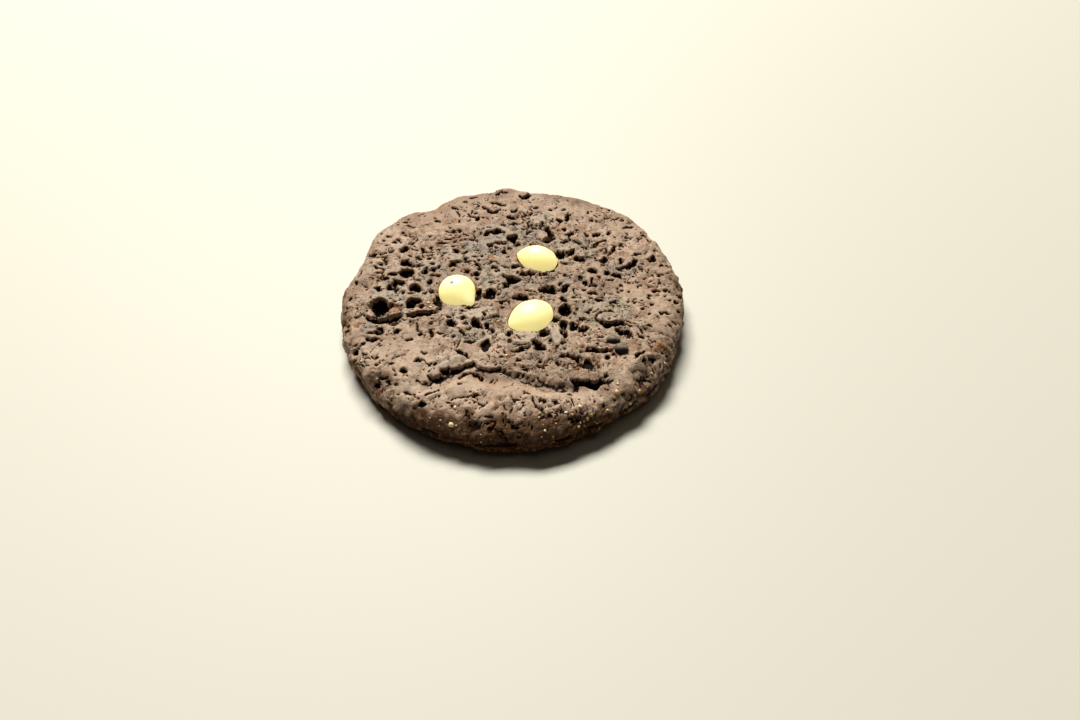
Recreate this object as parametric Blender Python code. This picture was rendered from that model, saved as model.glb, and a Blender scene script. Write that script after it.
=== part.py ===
"""Chocolate cookie with three white chocolate drops baked into its top.

Metres, +Z up. The cookie lies flat on Z = 0, its origin is the centre of its underside, +X is its
right and +Y is its back. The tables below are in millimetres, measured from the middle of the
round; PLAN_SHIFT then brings the middle of the whole uneven outline to the origin.
"""

from math import atan2, cos, exp, hypot, pi, radians, sin

import bmesh
import bpy
from mathutils import Matrix, Vector, noise
from mathutils.geometry import delaunay_2d_cdt

MM = 0.001

# Body of the cookie
RADIUS = 46.4
THICKNESS = 9.4
WIDEST_HEIGHT = 4.2
SHOULDER_BACK = 4.0
SHOULDER_FRONT = 8.0
FOOT_INSET = 2.0
PLAN_SHIFT = (0.48, 0.37)

# Size of the faces: spacing of the points on top, and the number of points around the edge
TOP_SPACING = 1.3
EDGE_POINTS = 140

# Bulges and hollows of the outline: direction and spread in degrees, height in millimetres
LOBES = [
    (240, 44, 1.5),
    (167, 6, -1.6),
    (152, 9, 1.3),
    (127, 6, -2.2),
    (105, 4, -1.2),
    (96, 3, 1.3),
    (87, 5, -1.2),
    (48, 10, 1.3),
    (343, 13, -1.2),
    (305, 9, -1.5),
]

# The long crease in front: its line from left to right, the step down and the lip's rise again
CREASE = [(-24, -33.5), (-19, -32), (-14.7, -29.3), (-11.7, -26.7), (-9, -25.8), (-5.7, -27.7), (0, -28),
          (8.3, -29.7), (16, -31), (21.7, -30.3), (27, -28.5)]
CREASE_FADE = 5.0
CREASE_STEP = 2.1
CREASE_FACE = 1.3
LIP_RISE = 1.2
LIP_WIDTH = 6.0

# Pits: x, y, half width, half length, turn in degrees and depth
PITS = [
    (-35.7, -8.8, 2.0, 2.7, 0, 3.4),
    (-27.0, -6.3, 1.6, 1.6, 0, 2.0),
    (-37.0, -2.2, 1.2, 1.9, 60, 1.6),
    (-31.0, 8.8, 1.4, 1.8, 20, 1.6),
    (-30.3, 4.0, 1.3, 2.0, 75, 1.6),
    (-33.0, -15.5, 1.7, 3.2, 80, 1.8),
    (-0.9, 3.2, 1.5, 2.4, -40, 2.4),
    (2.3, 6.3, 1.0, 2.2, 80, 1.8),
    (8.6, 0.6, 1.6, 2.4, 70, 2.2),
    (1.2, -1.9, 1.1, 1.7, 70, 1.6),
    (-2.2, 21.3, 1.4, 1.4, 0, 2.2),
    (8.0, 23.6, 1.2, 3.2, 15, 2.4),
    (-7.5, 23.6, 1.2, 3.0, -70, 1.5),
    (11.3, 15.3, 1.5, 1.6, 0, 2.0),
    (15.2, 16.8, 1.3, 2.2, -35, 2.0),
    (13.7, 24.2, 1.3, 1.8, 80, 1.6),
    (22.0, 24.0, 1.1, 1.8, 20, 1.5),
    (31.0, 28.2, 1.0, 1.7, -60, 1.5),
    (-32.3, 14.3, 1.0, 1.7, -50, 1.4),
    (13.2, -6.3, 1.6, 1.7, 0, 2.2),
    (12.4, -12.2, 1.2, 2.0, 60, 1.6),
    (27.3, -12.6, 1.5, 2.2, 80, 1.8),
    (25.4, -16.0, 1.7, 1.7, 0, 2.0),
    (27.5, -18.9, 1.6, 1.9, 0, 1.6),
    (6.6, -20.2, 1.2, 1.8, 70, 2.2),
    (18.7, -30.6, 1.4, 3.4, 85, 2.4),
    (14.0, -23.4, 0.9, 2.4, 85, 1.4),
    (-9.3, -13.4, 1.3, 1.4, 0, 1.6),
    (-16.2, -12.8, 1.2, 1.7, 30, 1.5),
    (26.7, 7.6, 1.2, 2.6, 60, 1.5),
    (20.7, 8.7, 1.3, 1.6, 0, 1.5),
    (-38.3, -22.9, 0.9, 2.4, -50, 1.8),
    (32.3, -27.6, 2.2, 3.0, 40, 1.2),
    (-31.0, -33.0, 2.4, 3.0, -40, 0.9),
    (-7.6, 41.8, 1.0, 2.0, -60, 1.0),
    (1.2, 41.2, 0.9, 1.8, -50, 1.0),
]

# Narrow trenches: half width, depth and the line they follow
TRENCHES = [
    (1.0, 1.8, [(-30, -11.6), (-27.3, -11.2), (-23.5, -10.5), (-20.3, -9.6)]),
    (0.9, 1.2, [(-12.7, -7.7), (-9.3, -7.5)]),
    (0.9, 1.2, [(18.5, -20.7), (25.0, -20.4)]),
    (0.9, 1.2, [(21.0, -10.2), (22.5, -7.6), (26.0, -6.7)]),
    (0.9, 1.3, [(22.0, -10.7), (28.0, -11.0)]),
    (0.8, 1.0, [(-15.5, 30.8), (-13.0, 29.3), (-10.0, 29.7)]),
    (0.8, 1.0, [(-13.3, 35.3), (-8.8, 32.2), (-5.5, 35.7)]),
]

# Lifted flakes and domed lumps of dough: x, y, half width, half length, turn in degrees, height
FLAKES = [
    (-35.0, -12.2, 1.0, 4.6, 80, 1.0),
    (33.3, -21.6, 1.2, 3.0, -65, 0.9),
    (-9.4, 34.8, 1.6, 3.2, 80, 0.6),
    (-14.6, -27.6, 2.2, 5.0, -50, 0.7),
    (6.0, -23.0, 2.0, 3.0, 80, 0.6),
    (2.2, -17.4, 2.4, 4.0, 85, 0.7),
    (-13.0, -10.0, 3.6, 5.2, 40, 0.8),
    (10.8, -15.2, 2.2, 3.4, 20, 0.7),
    (-5.0, 6.0, 2.6, 3.4, 0, 0.7),
    (4.6, 30.0, 3.0, 3.6, 0, 0.6),
    (26.2, 18.4, 1.2, 2.4, -20, 0.6),
    (-20.8, -35.0, 2.2, 3.2, 70, 0.5),
    (20.0, 3.6, 3.0, 4.0, 20, 0.6),
]

# Broad band of rough dark chocolate across the middle, and the size of its crags
ROUGH_BAND_Y = 2.0
ROUGH_BAND_HALF = 20.0
CRAG_SIZE = 4.6
CRAG_HEIGHT = 1.5
SWELL_SIZE = 17.0
SWELL_HEIGHT = 0.5
SIDE_ROUGHNESS = 0.35
NOISE_SEED = Vector((3.1, 7.7, 1.9))

# White chocolate drops: centre, half sizes, turn in degrees, direction and length of the drawn tip
DROPS = {
    "white_chip_left": ((-16.0, -1.0, 8.8), (5.0, 4.9, 4.5), 0, (0.62, -0.78, 0.06), 2.2),
    "white_chip_back": ((4.9, 13.3, 8.7), (5.7, 4.4, 3.9), 0, (-0.95, 0.25, 0.1), 0.3),
    "white_chip_front": ((4.2, -9.2, 8.7), (6.0, 4.6, 4.1), 36, (-0.9, -0.4, 0.1), 0.3),
}
DROP_SECTORS = 22
DROP_RINGS = 13
DROP_CLEARANCE = 0.34

COOKIE_COLOUR = (0.30, 0.21, 0.16, 1.0)
DROP_COLOUR = (0.93, 0.86, 0.55, 1.0)


def eased(amount):
    """Smooth step from 0 to 1."""
    amount = min(max(amount, 0.0), 1.0)
    return amount * amount * (3.0 - 2.0 * amount)


def outline_radius(angle):
    """Radius of the widest outline in the direction of this angle."""
    radius = RADIUS
    for direction, spread, height in LOBES:
        away = (angle - radians(direction) + pi) % (2.0 * pi) - pi
        radius += height * exp(-0.5 * (away / radians(spread)) ** 2)
    return radius


def shoulder_width(angle):
    """Width of the rounded shoulder: narrow at the back and broad in front."""
    front = eased(0.5 - 0.9 * sin(angle))
    return SHOULDER_BACK + (SHOULDER_FRONT - SHOULDER_BACK) * front


def local(x, y, centre_x, centre_y, turn):
    """Position in the frame of a feature that is turned about its centre."""
    angle = radians(turn)
    across = (x - centre_x) * cos(angle) + (y - centre_y) * sin(angle)
    along = (y - centre_y) * cos(angle) - (x - centre_x) * sin(angle)
    return across, along


def distance_to_line(x, y, points):
    """Shortest distance to a line through these points."""
    nearest = 1000.0
    for (ax, ay), (bx, by) in zip(points, points[1:]):
        length = hypot(bx - ax, by - ay)
        share = ((x - ax) * (bx - ax) + (y - ay) * (by - ay)) / length ** 2
        share = min(max(share, 0.0), 1.0)
        nearest = min(nearest, hypot(x - ax - share * (bx - ax), y - ay - share * (by - ay)))
    return nearest


def crease_step(x, y):
    """Step down in front of the crease, with the smooth lip rising again beyond it."""
    first, last = CREASE[0][0], CREASE[-1][0]
    if not first < x < last:
        return 0.0
    for (ax, ay), (bx, by) in zip(CREASE, CREASE[1:]):
        if ax <= x <= bx:
            line = ay + (by - ay) * (x - ax) / (bx - ax)
    fade = eased((x - first) / CREASE_FADE) * eased((last - x) / CREASE_FADE)
    beyond = line - y
    rise = LIP_RISE * eased((beyond - CREASE_FACE) / LIP_WIDTH)
    return fade * (rise - CREASE_STEP) * eased(beyond / CREASE_FACE)


def crags(x, y):
    """Broken lumps of dark chocolate across the middle, and a gentle swell everywhere."""
    place = Vector((x, y, 0.0)) + NOISE_SEED
    band = exp(-((y - ROUGH_BAND_Y) / ROUGH_BAND_HALF) ** 2)
    distances = noise.voronoi(place / CRAG_SIZE)[0]
    broken = min(distances[1] - distances[0], 0.5) * 2.0 - 0.7
    swell = noise.noise(place / SWELL_SIZE)
    grain = noise.noise(place / CRAG_SIZE * 1.7)
    return CRAG_HEIGHT * (band * 0.55 * broken + 0.3 * grain) + SWELL_HEIGHT * swell


def relief(x, y):
    """Height of the relief over the flat top at this place."""
    height = crags(x, y) + crease_step(x, y)
    for centre_x, centre_y, half_width, half_length, turn, lift in FLAKES:
        across, along = local(x, y, centre_x, centre_y, turn)
        height += lift * eased(1.6 - 1.2 * hypot(across / half_width, along / half_length))
    deepest = 0.0
    for centre_x, centre_y, half_width, half_length, turn, depth in PITS:
        across, along = local(x, y, centre_x, centre_y, turn)
        deepest = max(deepest, depth * eased(1.9 - 1.4 * hypot(across / half_width, along / half_length)))
    for half_width, depth, points in TRENCHES:
        deepest = max(deepest, depth * eased(1.9 - 1.4 * distance_to_line(x, y, points) / half_width))
    return height - deepest


def top_points(inner_edge):
    """Points of the top: its edge first, then an even grid of triangles inside it."""
    points = [Vector(point) for point in inner_edge]
    row_step = TOP_SPACING * sin(pi / 3.0)
    rows = int(RADIUS * 1.1 / row_step)
    columns = int(RADIUS * 1.1 / TOP_SPACING)
    for row in range(-rows, rows + 1):
        y = row * row_step
        for column in range(-columns, columns + 1):
            x = (column + 0.5 * (row % 2)) * TOP_SPACING
            angle = atan2(y, x)
            limit = outline_radius(angle) - shoulder_width(angle) - 0.6 * TOP_SPACING
            if hypot(x, y) < limit:
                points.append(Vector((x, y)))
    return points


def shoulder_profile():
    """Rings of the edge from the top down: inset as a share of its width, and height."""
    upper = [(cos(radians(a)), sin(radians(a))) for a in (68, 50, 33, 17, 0)]
    rings = []
    for out, up in upper:
        rings.append((1.0 - out, 0.0, WIDEST_HEIGHT + (THICKNESS - WIDEST_HEIGHT) * up))
    for a in (28, 54, 76):
        rings.append((0.0, 1.0 - cos(radians(a)), WIDEST_HEIGHT * (1.0 - sin(radians(a)))))
    rings.append((0.0, 1.0, 0.0))
    return rings


def edge_roughness(x, y, z):
    """Small in and out wandering of the side."""
    return SIDE_ROUGHNESS * noise.noise((Vector((x, y, z)) + NOISE_SEED) / 2.6)


def cookie_mesh():
    """Closed solid of the cookie before the drops' sockets are cut."""
    angles = [2.0 * pi * i / EDGE_POINTS for i in range(EDGE_POINTS)]
    inner_edge = []
    for angle in angles:
        radius = outline_radius(angle) - shoulder_width(angle)
        inner_edge.append((radius * cos(angle), radius * sin(angle)))
    loop = [(i, (i + 1) % EDGE_POINTS) for i in range(EDGE_POINTS)]
    plan, _, triangles, _, _, _ = delaunay_2d_cdt(top_points(inner_edge), loop, [], 1, 1e-5)

    bm = bmesh.new()
    vertices = [bm.verts.new((p.x, p.y, THICKNESS + relief(p.x, p.y))) for p in plan]
    for triangle in triangles:
        bm.faces.new([vertices[i] for i in triangle])

    ring = vertices[:EDGE_POINTS]
    for inset, foot, height in shoulder_profile():
        lower = []
        for angle in angles:
            radius = outline_radius(angle) - inset * shoulder_width(angle) - foot * FOOT_INSET
            x, y = radius * cos(angle), radius * sin(angle)
            z = height
            if height > WIDEST_HEIGHT:
                share = (height - WIDEST_HEIGHT) / (THICKNESS - WIDEST_HEIGHT)
                z += share * relief(x, y)
            if height > 0.0:
                grow = 1.0 + edge_roughness(x, y, height) / radius
                x, y = x * grow, y * grow
            lower.append(bm.verts.new((x, y, z)))
        for i in range(EDGE_POINTS):
            j = (i + 1) % EDGE_POINTS
            bm.faces.new((ring[i], lower[i], lower[j], ring[j]))
        ring = lower
    bm.faces.new(list(reversed(ring)))

    shift = Vector((PLAN_SHIFT[0], PLAN_SHIFT[1], 0.0))
    for vertex in bm.verts:
        vertex.co = (vertex.co + shift) * MM
    bmesh.ops.triangulate(bm, faces=bm.faces)
    bmesh.ops.recalc_face_normals(bm, faces=bm.faces)
    mesh = bpy.data.meshes.new("cookie")
    bm.to_mesh(mesh)
    bm.free()
    return mesh


def drop_mesh(name, half_sizes, turn, tip_direction, tip_length, grow):
    """A drop of chocolate: a squat ball drawn out to a soft tip on one side."""
    bm = bmesh.new()
    bmesh.ops.create_uvsphere(bm, u_segments=DROP_SECTORS, v_segments=DROP_RINGS, radius=1.0)
    mean_size = sum(half_sizes) / 3.0
    for vertex in bm.verts:
        toward_tip = max(vertex.co.z, 0.0)
        vertex.co.z += tip_length / mean_size * toward_tip ** 9
        vertex.co.x *= 1.0 - 0.35 * toward_tip ** 7
        vertex.co.y *= 1.0 - 0.35 * toward_tip ** 7
    to_tip = Vector((0.0, 0.0, 1.0)).rotation_difference(Vector(tip_direction).normalized())
    sizes = Matrix.Diagonal((*half_sizes, 1.0))
    turned = Matrix.Rotation(radians(turn), 4, "Z")
    bmesh.ops.transform(bm, verts=bm.verts, matrix=turned @ sizes @ turned.inverted() @ to_tip.to_matrix().to_4x4())
    bm.normal_update()
    for vertex in bm.verts:
        vertex.co = (vertex.co + vertex.normal * grow) * MM
    mesh = bpy.data.meshes.new(name)
    bm.to_mesh(mesh)
    bm.free()
    return mesh


def add_object(name, mesh, location=(0.0, 0.0, 0.0)):
    """Links a named object and shades it smooth."""
    mesh.shade_smooth()
    mesh.set_sharp_from_angle(angle=radians(50))
    obj = bpy.data.objects.new(name, mesh)
    obj.location = location
    bpy.context.scene.collection.objects.link(obj)
    return obj


def add_material(obj, colour, roughness):
    """Gives an object a plain material of its own."""
    material = bpy.data.materials.new(obj.name)
    material.use_nodes = True
    shader = material.node_tree.nodes["Principled BSDF"]
    shader.inputs["Base Color"].default_value = colour
    shader.inputs["Roughness"].default_value = roughness
    shader.inputs["Metallic"].default_value = 0.0
    obj.data.materials.append(material)


def main():
    """Builds the cookie, its sockets and the three drops."""
    for obj in list(bpy.data.objects):
        bpy.data.objects.remove(obj)

    cookie = add_object("cookie", cookie_mesh())
    add_material(cookie, COOKIE_COLOUR, 0.7)

    for name, (centre, half_sizes, turn, tip_direction, tip_length) in DROPS.items():
        shift = Vector((PLAN_SHIFT[0], PLAN_SHIFT[1], 0.0))
        location = (Vector(centre) + shift) * MM
        drop = add_object(name, drop_mesh(name, half_sizes, turn, tip_direction, tip_length, 0.0), location)
        add_material(drop, DROP_COLOUR, 0.35)

        cutter_name = name + "_socket"
        cutter_mesh = drop_mesh(cutter_name, half_sizes, turn, tip_direction, tip_length, DROP_CLEARANCE)
        cutter = add_object(cutter_name, cutter_mesh, location)
        cutter.hide_render = True
        cutter.display_type = "WIRE"
        socket = cookie.modifiers.new(cutter_name, "BOOLEAN")
        socket.operation = "DIFFERENCE"
        socket.object = cutter


main()
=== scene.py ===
"""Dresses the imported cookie: craggy dough, white chocolate drops, golden grains and loose crumbs.

Every piece is modelled in millimetres from the middle of the round and then brought into the frame,
which is in metres with the origin under the middle of the whole outline.
"""

import random
from math import atan2, cos, pi, radians, sin

import bmesh
import bpy
import numpy as np
from mathutils import Matrix, Vector, noise
from mathutils.bvhtree import BVHTree


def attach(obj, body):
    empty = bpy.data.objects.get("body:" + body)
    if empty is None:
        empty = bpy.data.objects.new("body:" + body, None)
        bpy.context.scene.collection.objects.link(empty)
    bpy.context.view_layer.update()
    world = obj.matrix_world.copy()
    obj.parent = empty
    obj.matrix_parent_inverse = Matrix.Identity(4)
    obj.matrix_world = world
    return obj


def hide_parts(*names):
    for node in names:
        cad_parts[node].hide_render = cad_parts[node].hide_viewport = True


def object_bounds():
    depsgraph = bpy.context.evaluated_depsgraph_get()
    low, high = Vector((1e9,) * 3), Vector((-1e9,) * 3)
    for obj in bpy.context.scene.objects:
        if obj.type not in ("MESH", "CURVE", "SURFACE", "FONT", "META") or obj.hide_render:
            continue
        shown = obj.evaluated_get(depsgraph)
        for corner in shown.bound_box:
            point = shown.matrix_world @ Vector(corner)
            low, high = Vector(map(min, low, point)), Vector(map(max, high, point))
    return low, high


bl_info = {
    "name": "Chocolate cookie with white drops",
    "version": (1, 0, 0),
    "blender": (4, 5, 0),
    "location": "3D View > Sidebar > Cookie",
    "description": "Models a baked chocolate cookie with white chocolate drops",
    "category": "Add Mesh",
}

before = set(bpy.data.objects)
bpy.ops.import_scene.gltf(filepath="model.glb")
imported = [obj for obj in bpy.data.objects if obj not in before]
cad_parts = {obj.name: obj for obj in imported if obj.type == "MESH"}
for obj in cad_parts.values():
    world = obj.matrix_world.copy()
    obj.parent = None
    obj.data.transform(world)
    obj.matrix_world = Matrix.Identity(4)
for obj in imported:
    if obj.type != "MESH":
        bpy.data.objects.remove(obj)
CAD_LOW, CAD_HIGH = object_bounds()

MM = 0.001
UP = Vector((0.0, 0.0, 1.0))
FAR_AWAY = 1000.0

# From the middle of the round to the frame's origin, in millimetres
PLAN_SHIFT = Vector((0.48, 0.37, 0.0))

# Round of the cookie; its shoulder is broadest this many degrees clockwise from the right
RADIUS = 46.4
THICKNESS = 9.4
WIDEST_HEIGHT = 4.2
SHOULDER_BACK = 4.0
SHOULDER_FRONT = 8.0
SHOULDER_TURN = 72.0
FOOT_INSET = 2.0
FOOT_BLEND = 0.8

# Height from which the wall becomes the top, over what height, and height of the front ledge
TOP_START = 5.2
TOP_BLEND = 2.4
LEDGE_HEIGHT = 2.2

# Step between the dough's thin layers, in units of their noise
LAYER_STEP = 0.3

# Rounds of smoothing after which a place counts as sunk, and as part of a narrow groove; the finish paints
# shade into both
SUNK_ROUNDS = 120
GROOVE_ROUNDS = 8

# Directions around the round between which the wall differs, and their soft ends, in degrees
FRONT = (-128, -12, 15)
RIGHT = (-62, 12, 14)
LEFT = (-172, -118, 14)
BEHIND = (15, 175, 30)

# Fineness of the mesh: squares along each side of the top, and rings down the edge
TOP_SQUARES = 240
UPPER_RINGS = 24
LOWER_RINGS = 12

# Bulges and hollows of the outline: direction and spread in degrees, height
LOBES = [
    (240, 44, 1.5), (167, 6, -1.6), (152, 9, 1.3), (129, 4, -2.4), (134, 3, 0.8), (105, 4, -1.2),
    (96, 3, 1.3), (87, 5, -1.2), (48, 10, 1.3), (343, 13, -1.2), (305, 9, -1.5),
]

# The long crease in front of the middle, from left to right
CREASE = [
    (-24, -33.5), (-19, -32), (-14.7, -29.3), (-11.7, -26.7), (-9, -25.8), (-5.7, -27.7), (0, -28),
    (8.3, -29.7), (16, -31), (21.7, -30.3), (27, -28.5),
]
CREASE_FADE = 5.0
CREASE_STEP = 1.2
CREASE_FACE = 0.9
LIP_RISE = 1.0
LIP_WIDTH = 6.0

# How far a pit reaches past its outline, and how steep its sides are
PIT_REACH = 2.85
PIT_STEEPNESS = 2.2

# Pits: x, y, half width, half length, turn in degrees, depth
PITS = [
    (-22.6, 37.4, 0.4, 0.6, 0, 0.8), (-20, 33.5, 0.6, 0.5, 0, 1), (-13.1, 35.1, 0.4, 0.5, 0, 0.8),
    (-14.9, 32.5, 0.4, 0.35, 0, 0.6), (-13, 29.4, 0.6, 0.75, 0, 1.3), (-8.5, 29.6, 0.45, 0.4, 0, 0.8),
    (-3.2, 30.8, 1.1, 0.65, 0, 1.2), (-24.4, 27.1, 0.75, 0.4, 0, 1), (-33.2, 27.5, 0.35, 0.45, 0, 0.6),
    (-32.2, 26.2, 0.35, 0.35, 0, 0.5), (-35.5, 25, 0.4, 0.35, 0, 0.5), (-34, 21.4, 0.35, 0.4, 0, 0.6),
    (-19.2, 22.8, 0.6, 0.5, 0, 1), (-18, 23.6, 0.5, 0.5, 0, 0.8), (-35.6, 16.8, 0.4, 0.5, 0, 0.9),
    (-30.4, 17.1, 0.4, 0.35, 0, 0.7), (-35.9, 13.2, 0.45, 0.4, 0, 0.8), (-41.4, 12.2, 0.9, 1, 0, 1.1),
    (-41, 10.1, 0.4, 0.45, 0, 0.9), (-43.4, 4.2, 0.5, 1.2, 0, 0.8), (-38, 4.2, 0.7, 0.5, 0, 0.9),
    (-36.3, 2.4, 1, 0.8, 0, 0.9), (-43.3, 0.6, 0.5, 0.5, 0, 0.9), (-31.4, 8.9, 1.2, 0.9, -20, 1.9),
    (-29, 8.3, 0.5, 0.45, 0, 1), (-25.3, 6.5, 0.5, 1.1, 0, 1.6), (-24.3, 9.2, 0.6, 0.45, 0, 1.2),
    (-25.3, 11.5, 0.45, 0.6, 0, 1), (-25, 15.3, 0.5, 0.35, 0, 0.8), (-33.8, 4.2, 1, 0.7, 0, 1.2),
    (-30.4, 4.9, 1.3, 1.4, 0, 2.2), (-32, 0.8, 1.5, 0.9, 0, 2.2), (-23.8, 1.7, 0.5, 0.9, 0, 1.2),
    (-9.1, 23.8, 0.8, 0.5, 30, 1.2), (-10, 22.5, 0.8, 0.5, 0, 1.5), (-6.7, 23.9, 1.4, 0.9, 20, 2),
    (-2.1, 21.4, 1.2, 1.25, 0, 2.6), (-8.4, 17.8, 0.75, 0.7, 0, 1.7), (-2.8, 16.7, 0.5, 0.45, 0, 1),
    (-0.7, 19, 0.7, 0.5, 0, 1.4), (-4.4, 15.3, 0.5, 0.6, 0, 1.2), (-19.1, 16.7, 0.45, 0.55, 0, 1.2),
    (-14.8, 14.5, 0.35, 0.5, 0, 0.8), (-12, 15.6, 0.4, 0.45, 0, 0.9), (-11.3, 11, 0.35, 0.4, 0, 0.6),
    (-10.7, 7.9, 0.45, 0.8, 0, 1.3), (-6.8, 8.8, 0.8, 0.7, -40, 1.5), (-1, 9.3, 0.9, 0.6, 0, 1.4),
    (-11.7, 5.4, 1, 0.7, 0, 1.5), (-10.6, 3.3, 0.45, 0.5, 0, 1), (-1, 3.8, 1.3, 1.1, 0, 2.4),
    (-2.8, 1.6, 0.9, 0.8, 0, 2), (1.8, 38.5, 0.45, 0.45, 0, 0.9), (2.4, 34.5, 0.6, 0.45, 0, 0.9),
    (2.6, 32.3, 0.4, 0.6, 0, 1), (8.2, 35.3, 0.5, 0.35, 20, 0.6), (11.9, 35.2, 0.7, 0.45, 0, 1),
    (11, 30.4, 0.85, 0.5, 0, 1.3), (3.8, 26.4, 0.9, 0.6, 0, 0.9), (12.4, 27, 0.45, 0.4, 0, 1),
    (16.4, 26.1, 0.35, 0.4, 0, 0.6), (21.9, 30.5, 0.35, 0.35, 0, 0.6), (29.3, 31.6, 0.4, 0.35, 0, 0.8),
    (25.6, 24.8, 0.5, 0.8, 0, 0.8), (29, 20.3, 0.4, 0.4, 0, 0.6), (11.5, 15.3, 1.2, 1.3, 0, 2.2),
    (23.8, 13.2, 0.7, 1.1, -30, 1.6), (21.7, 13.2, 0.5, 0.4, 0, 0.8), (20.8, 8.6, 1.1, 0.9, 0, 1.8),
    (24.6, 7.9, 0.6, 0.8, 0, 1.4), (26.9, 7.1, 1, 0.8, 0, 1.7), (22.2, 6.5, 0.5, 0.5, 0, 0.9),
    (40.1, 12.5, 0.4, 0.5, 0, 0.8), (35.8, 9.2, 0.3, 0.5, 0, 0.7), (39.2, 8.3, 0.45, 0.4, 0, 0.7),
    (31.8, 7.2, 0.3, 0.5, 0, 0.6), (40.7, 2.4, 0.35, 0.35, 0, 0.6), (35.7, 0.2, 0.5, 0.35, 0, 0.7),
    (12.9, 6.7, 0.5, 0.6, 0, 1.2), (8.8, 0.8, 1.8, 1, 0, 2.4), (18.4, 3.7, 0.6, 0.8, 0, 1.2),
    (20.3, 2.7, 0.9, 0.5, 0, 1.1), (17.2, 5.7, 0.5, 0.5, 0, 0.8), (18.3, 0.7, 0.35, 0.35, 0, 0.6),
    (-43.6, -6, 0.4, 0.6, 0, 0.7), (-35.7, -8, 1.7, 1.9, 0, 3.6), (-35.3, -10.3, 1.6, 1.5, 0, 3.6),
    (-33.3, -1, 1.2, 1, 0, 1.9), (-32.5, -2.8, 0.45, 0.4, 0, 0.9), (-27.1, -1.1, 1.3, 1.1, 0, 2.2),
    (-28, -3, 0.6, 0.4, 0, 1), (-27.4, -6.7, 1, 1.5, -30, 2.4), (-26, -5.7, 0.9, 0.6, 20, 2),
    (-25, -7.5, 0.5, 0.6, 0, 1.3), (-32.3, -6.3, 0.45, 0.35, 0, 0.7), (-20.5, -5.6, 0.9, 1.7, 10, 2),
    (-19.9, -8.4, 0.6, 0.6, 0, 1.5), (-29.8, -16.8, 0.9, 0.7, 0, 1.4),
    (-23.8, -17.5, 0.45, 0.35, 0, 0.8), (-32.9, -20.5, 0.35, 0.4, 0, 0.6),
    (-33, -22.2, 0.4, 0.35, 0, 0.6), (-33.2, -26.5, 0.5, 0.35, 0, 0.5), (-33, -28.5, 0.5, 0.35, 0, 0.5),
    (-29.2, -27.7, 0.4, 0.35, 0, 0.6), (-26, -30.3, 0.7, 0.35, 0, 0.9),
    (-18.5, -27.3, 0.5, 0.5, 0, 0.8), (-12, -33.3, 0.6, 0.4, 0, 0.7), (-22, -33, 0.7, 0.35, 0, 0.7),
    (-24.5, -36.3, 0.5, 0.35, 0, 0.7), (-26.5, -36.6, 0.45, 0.35, 0, 0.7),
    (-20.5, -39.2, 0.6, 0.4, 0, 0.9), (-33.3, -33.7, 0.9, 0.5, -20, 0.9),
    (-16.5, -13.2, 0.9, 1.1, 30, 1.7), (-17.2, -11.2, 0.5, 0.5, 0, 1.1), (-9.7, -13.3, 1.1, 0.9, 0, 2),
    (-12.6, -13.6, 0.6, 0.4, 0, 0.7), (-6.7, -20.3, 0.9, 1.6, 0, 1.2), (-4, -4.5, 0.6, 0.5, 0, 1.1),
    (-4.6, -1.7, 0.4, 0.4, 0, 0.9), (-7.2, -1.7, 1.2, 1.3, 0, 2), (-10.3, -2.2, 0.8, 1.6, 0, 1.8),
    (-6.8, -13.7, 0.6, 0.8, 0, 1.3), (1.2, -2.6, 1.4, 1, 0, 1.8), (12.7, -2.5, 0.6, 1.1, 0, 1.2),
    (13, -6.7, 1.4, 1.6, 0, 2.5), (10.7, -10.5, 0.8, 1.1, 0, 1.9), (13, -12.1, 1, 1, 0, 2),
    (15.4, -12.7, 1, 1.1, 0, 1.9), (17.9, -13.7, 1.3, 0.8, 10, 1.5), (16.5, -6, 0.45, 0.4, 0, 0.8),
    (15.9, -8, 0.5, 0.35, 0, 0.8), (27.5, -13.2, 0.8, 0.9, 0, 1.7), (29.5, -14, 0.9, 1.2, 0, 1.3),
    (7.8, -15.6, 1, 1.1, 0, 2.1), (7, -20.5, 1.1, 1.1, 0, 2.5), (13, -15.7, 0.7, 0.9, 0, 1.3),
    (25.3, -21.8, 0.4, 0.6, 0, 1), (23.8, -23.3, 0.5, 0.7, -20, 1), (19, -25.8, 1.1, 1.3, 0, 1.1),
    (16.2, -32.4, 0.4, 0.5, 0, 1), (11.7, -25.8, 0.45, 0.4, 0, 0.7), (7.2, -26.7, 0.4, 0.4, 0, 0.6),
    (1.9, -25.5, 0.5, 0.35, 0, 0.7), (8.1, -37.8, 0.7, 0.4, 20, 0.9), (4.4, -35.2, 0.6, 0.35, 0, 0.6),
    (38.5, -6.8, 0.5, 0.6, 0, 1), (39.9, -6.6, 0.8, 0.4, 10, 0.8), (35.2, -6.7, 0.5, 0.4, 30, 0.8),
    (33.4, -5.1, 0.4, 0.35, 0, 0.7), (36.4, -3.3, 0.5, 0.5, 0, 0.5), (43.5, -4.7, 0.5, 0.4, 0, 0.8),
    (35.2, -0.8, 0.35, 0.4, 0, 0.6), (33.3, -14.8, 0.5, 0.35, 0, 0.6), (40.6, -10.7, 0.4, 0.4, 0, 0.6),
    (16.1, -3.4, 0.5, 0.35, 0, 0.6), (18, -3.2, 0.4, 0.35, 0, 0.6), (24.2, -12, 0.6, 0.5, 0, 1.2),
    (27.6, 1, 0.3, 0.3, 0, 0.7), (28.6, 1.7, 0.3, 0.3, 0, 0.7), (27.2, 2.4, 0.3, 0.3, 0, 0.6),
    (29.2, 2.8, 0.3, 0.3, 0, 0.6), (30.2, 1, 0.3, 0.3, 0, 0.6), (28.4, 3.6, 0.3, 0.3, 0, 0.6),
]

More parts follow.
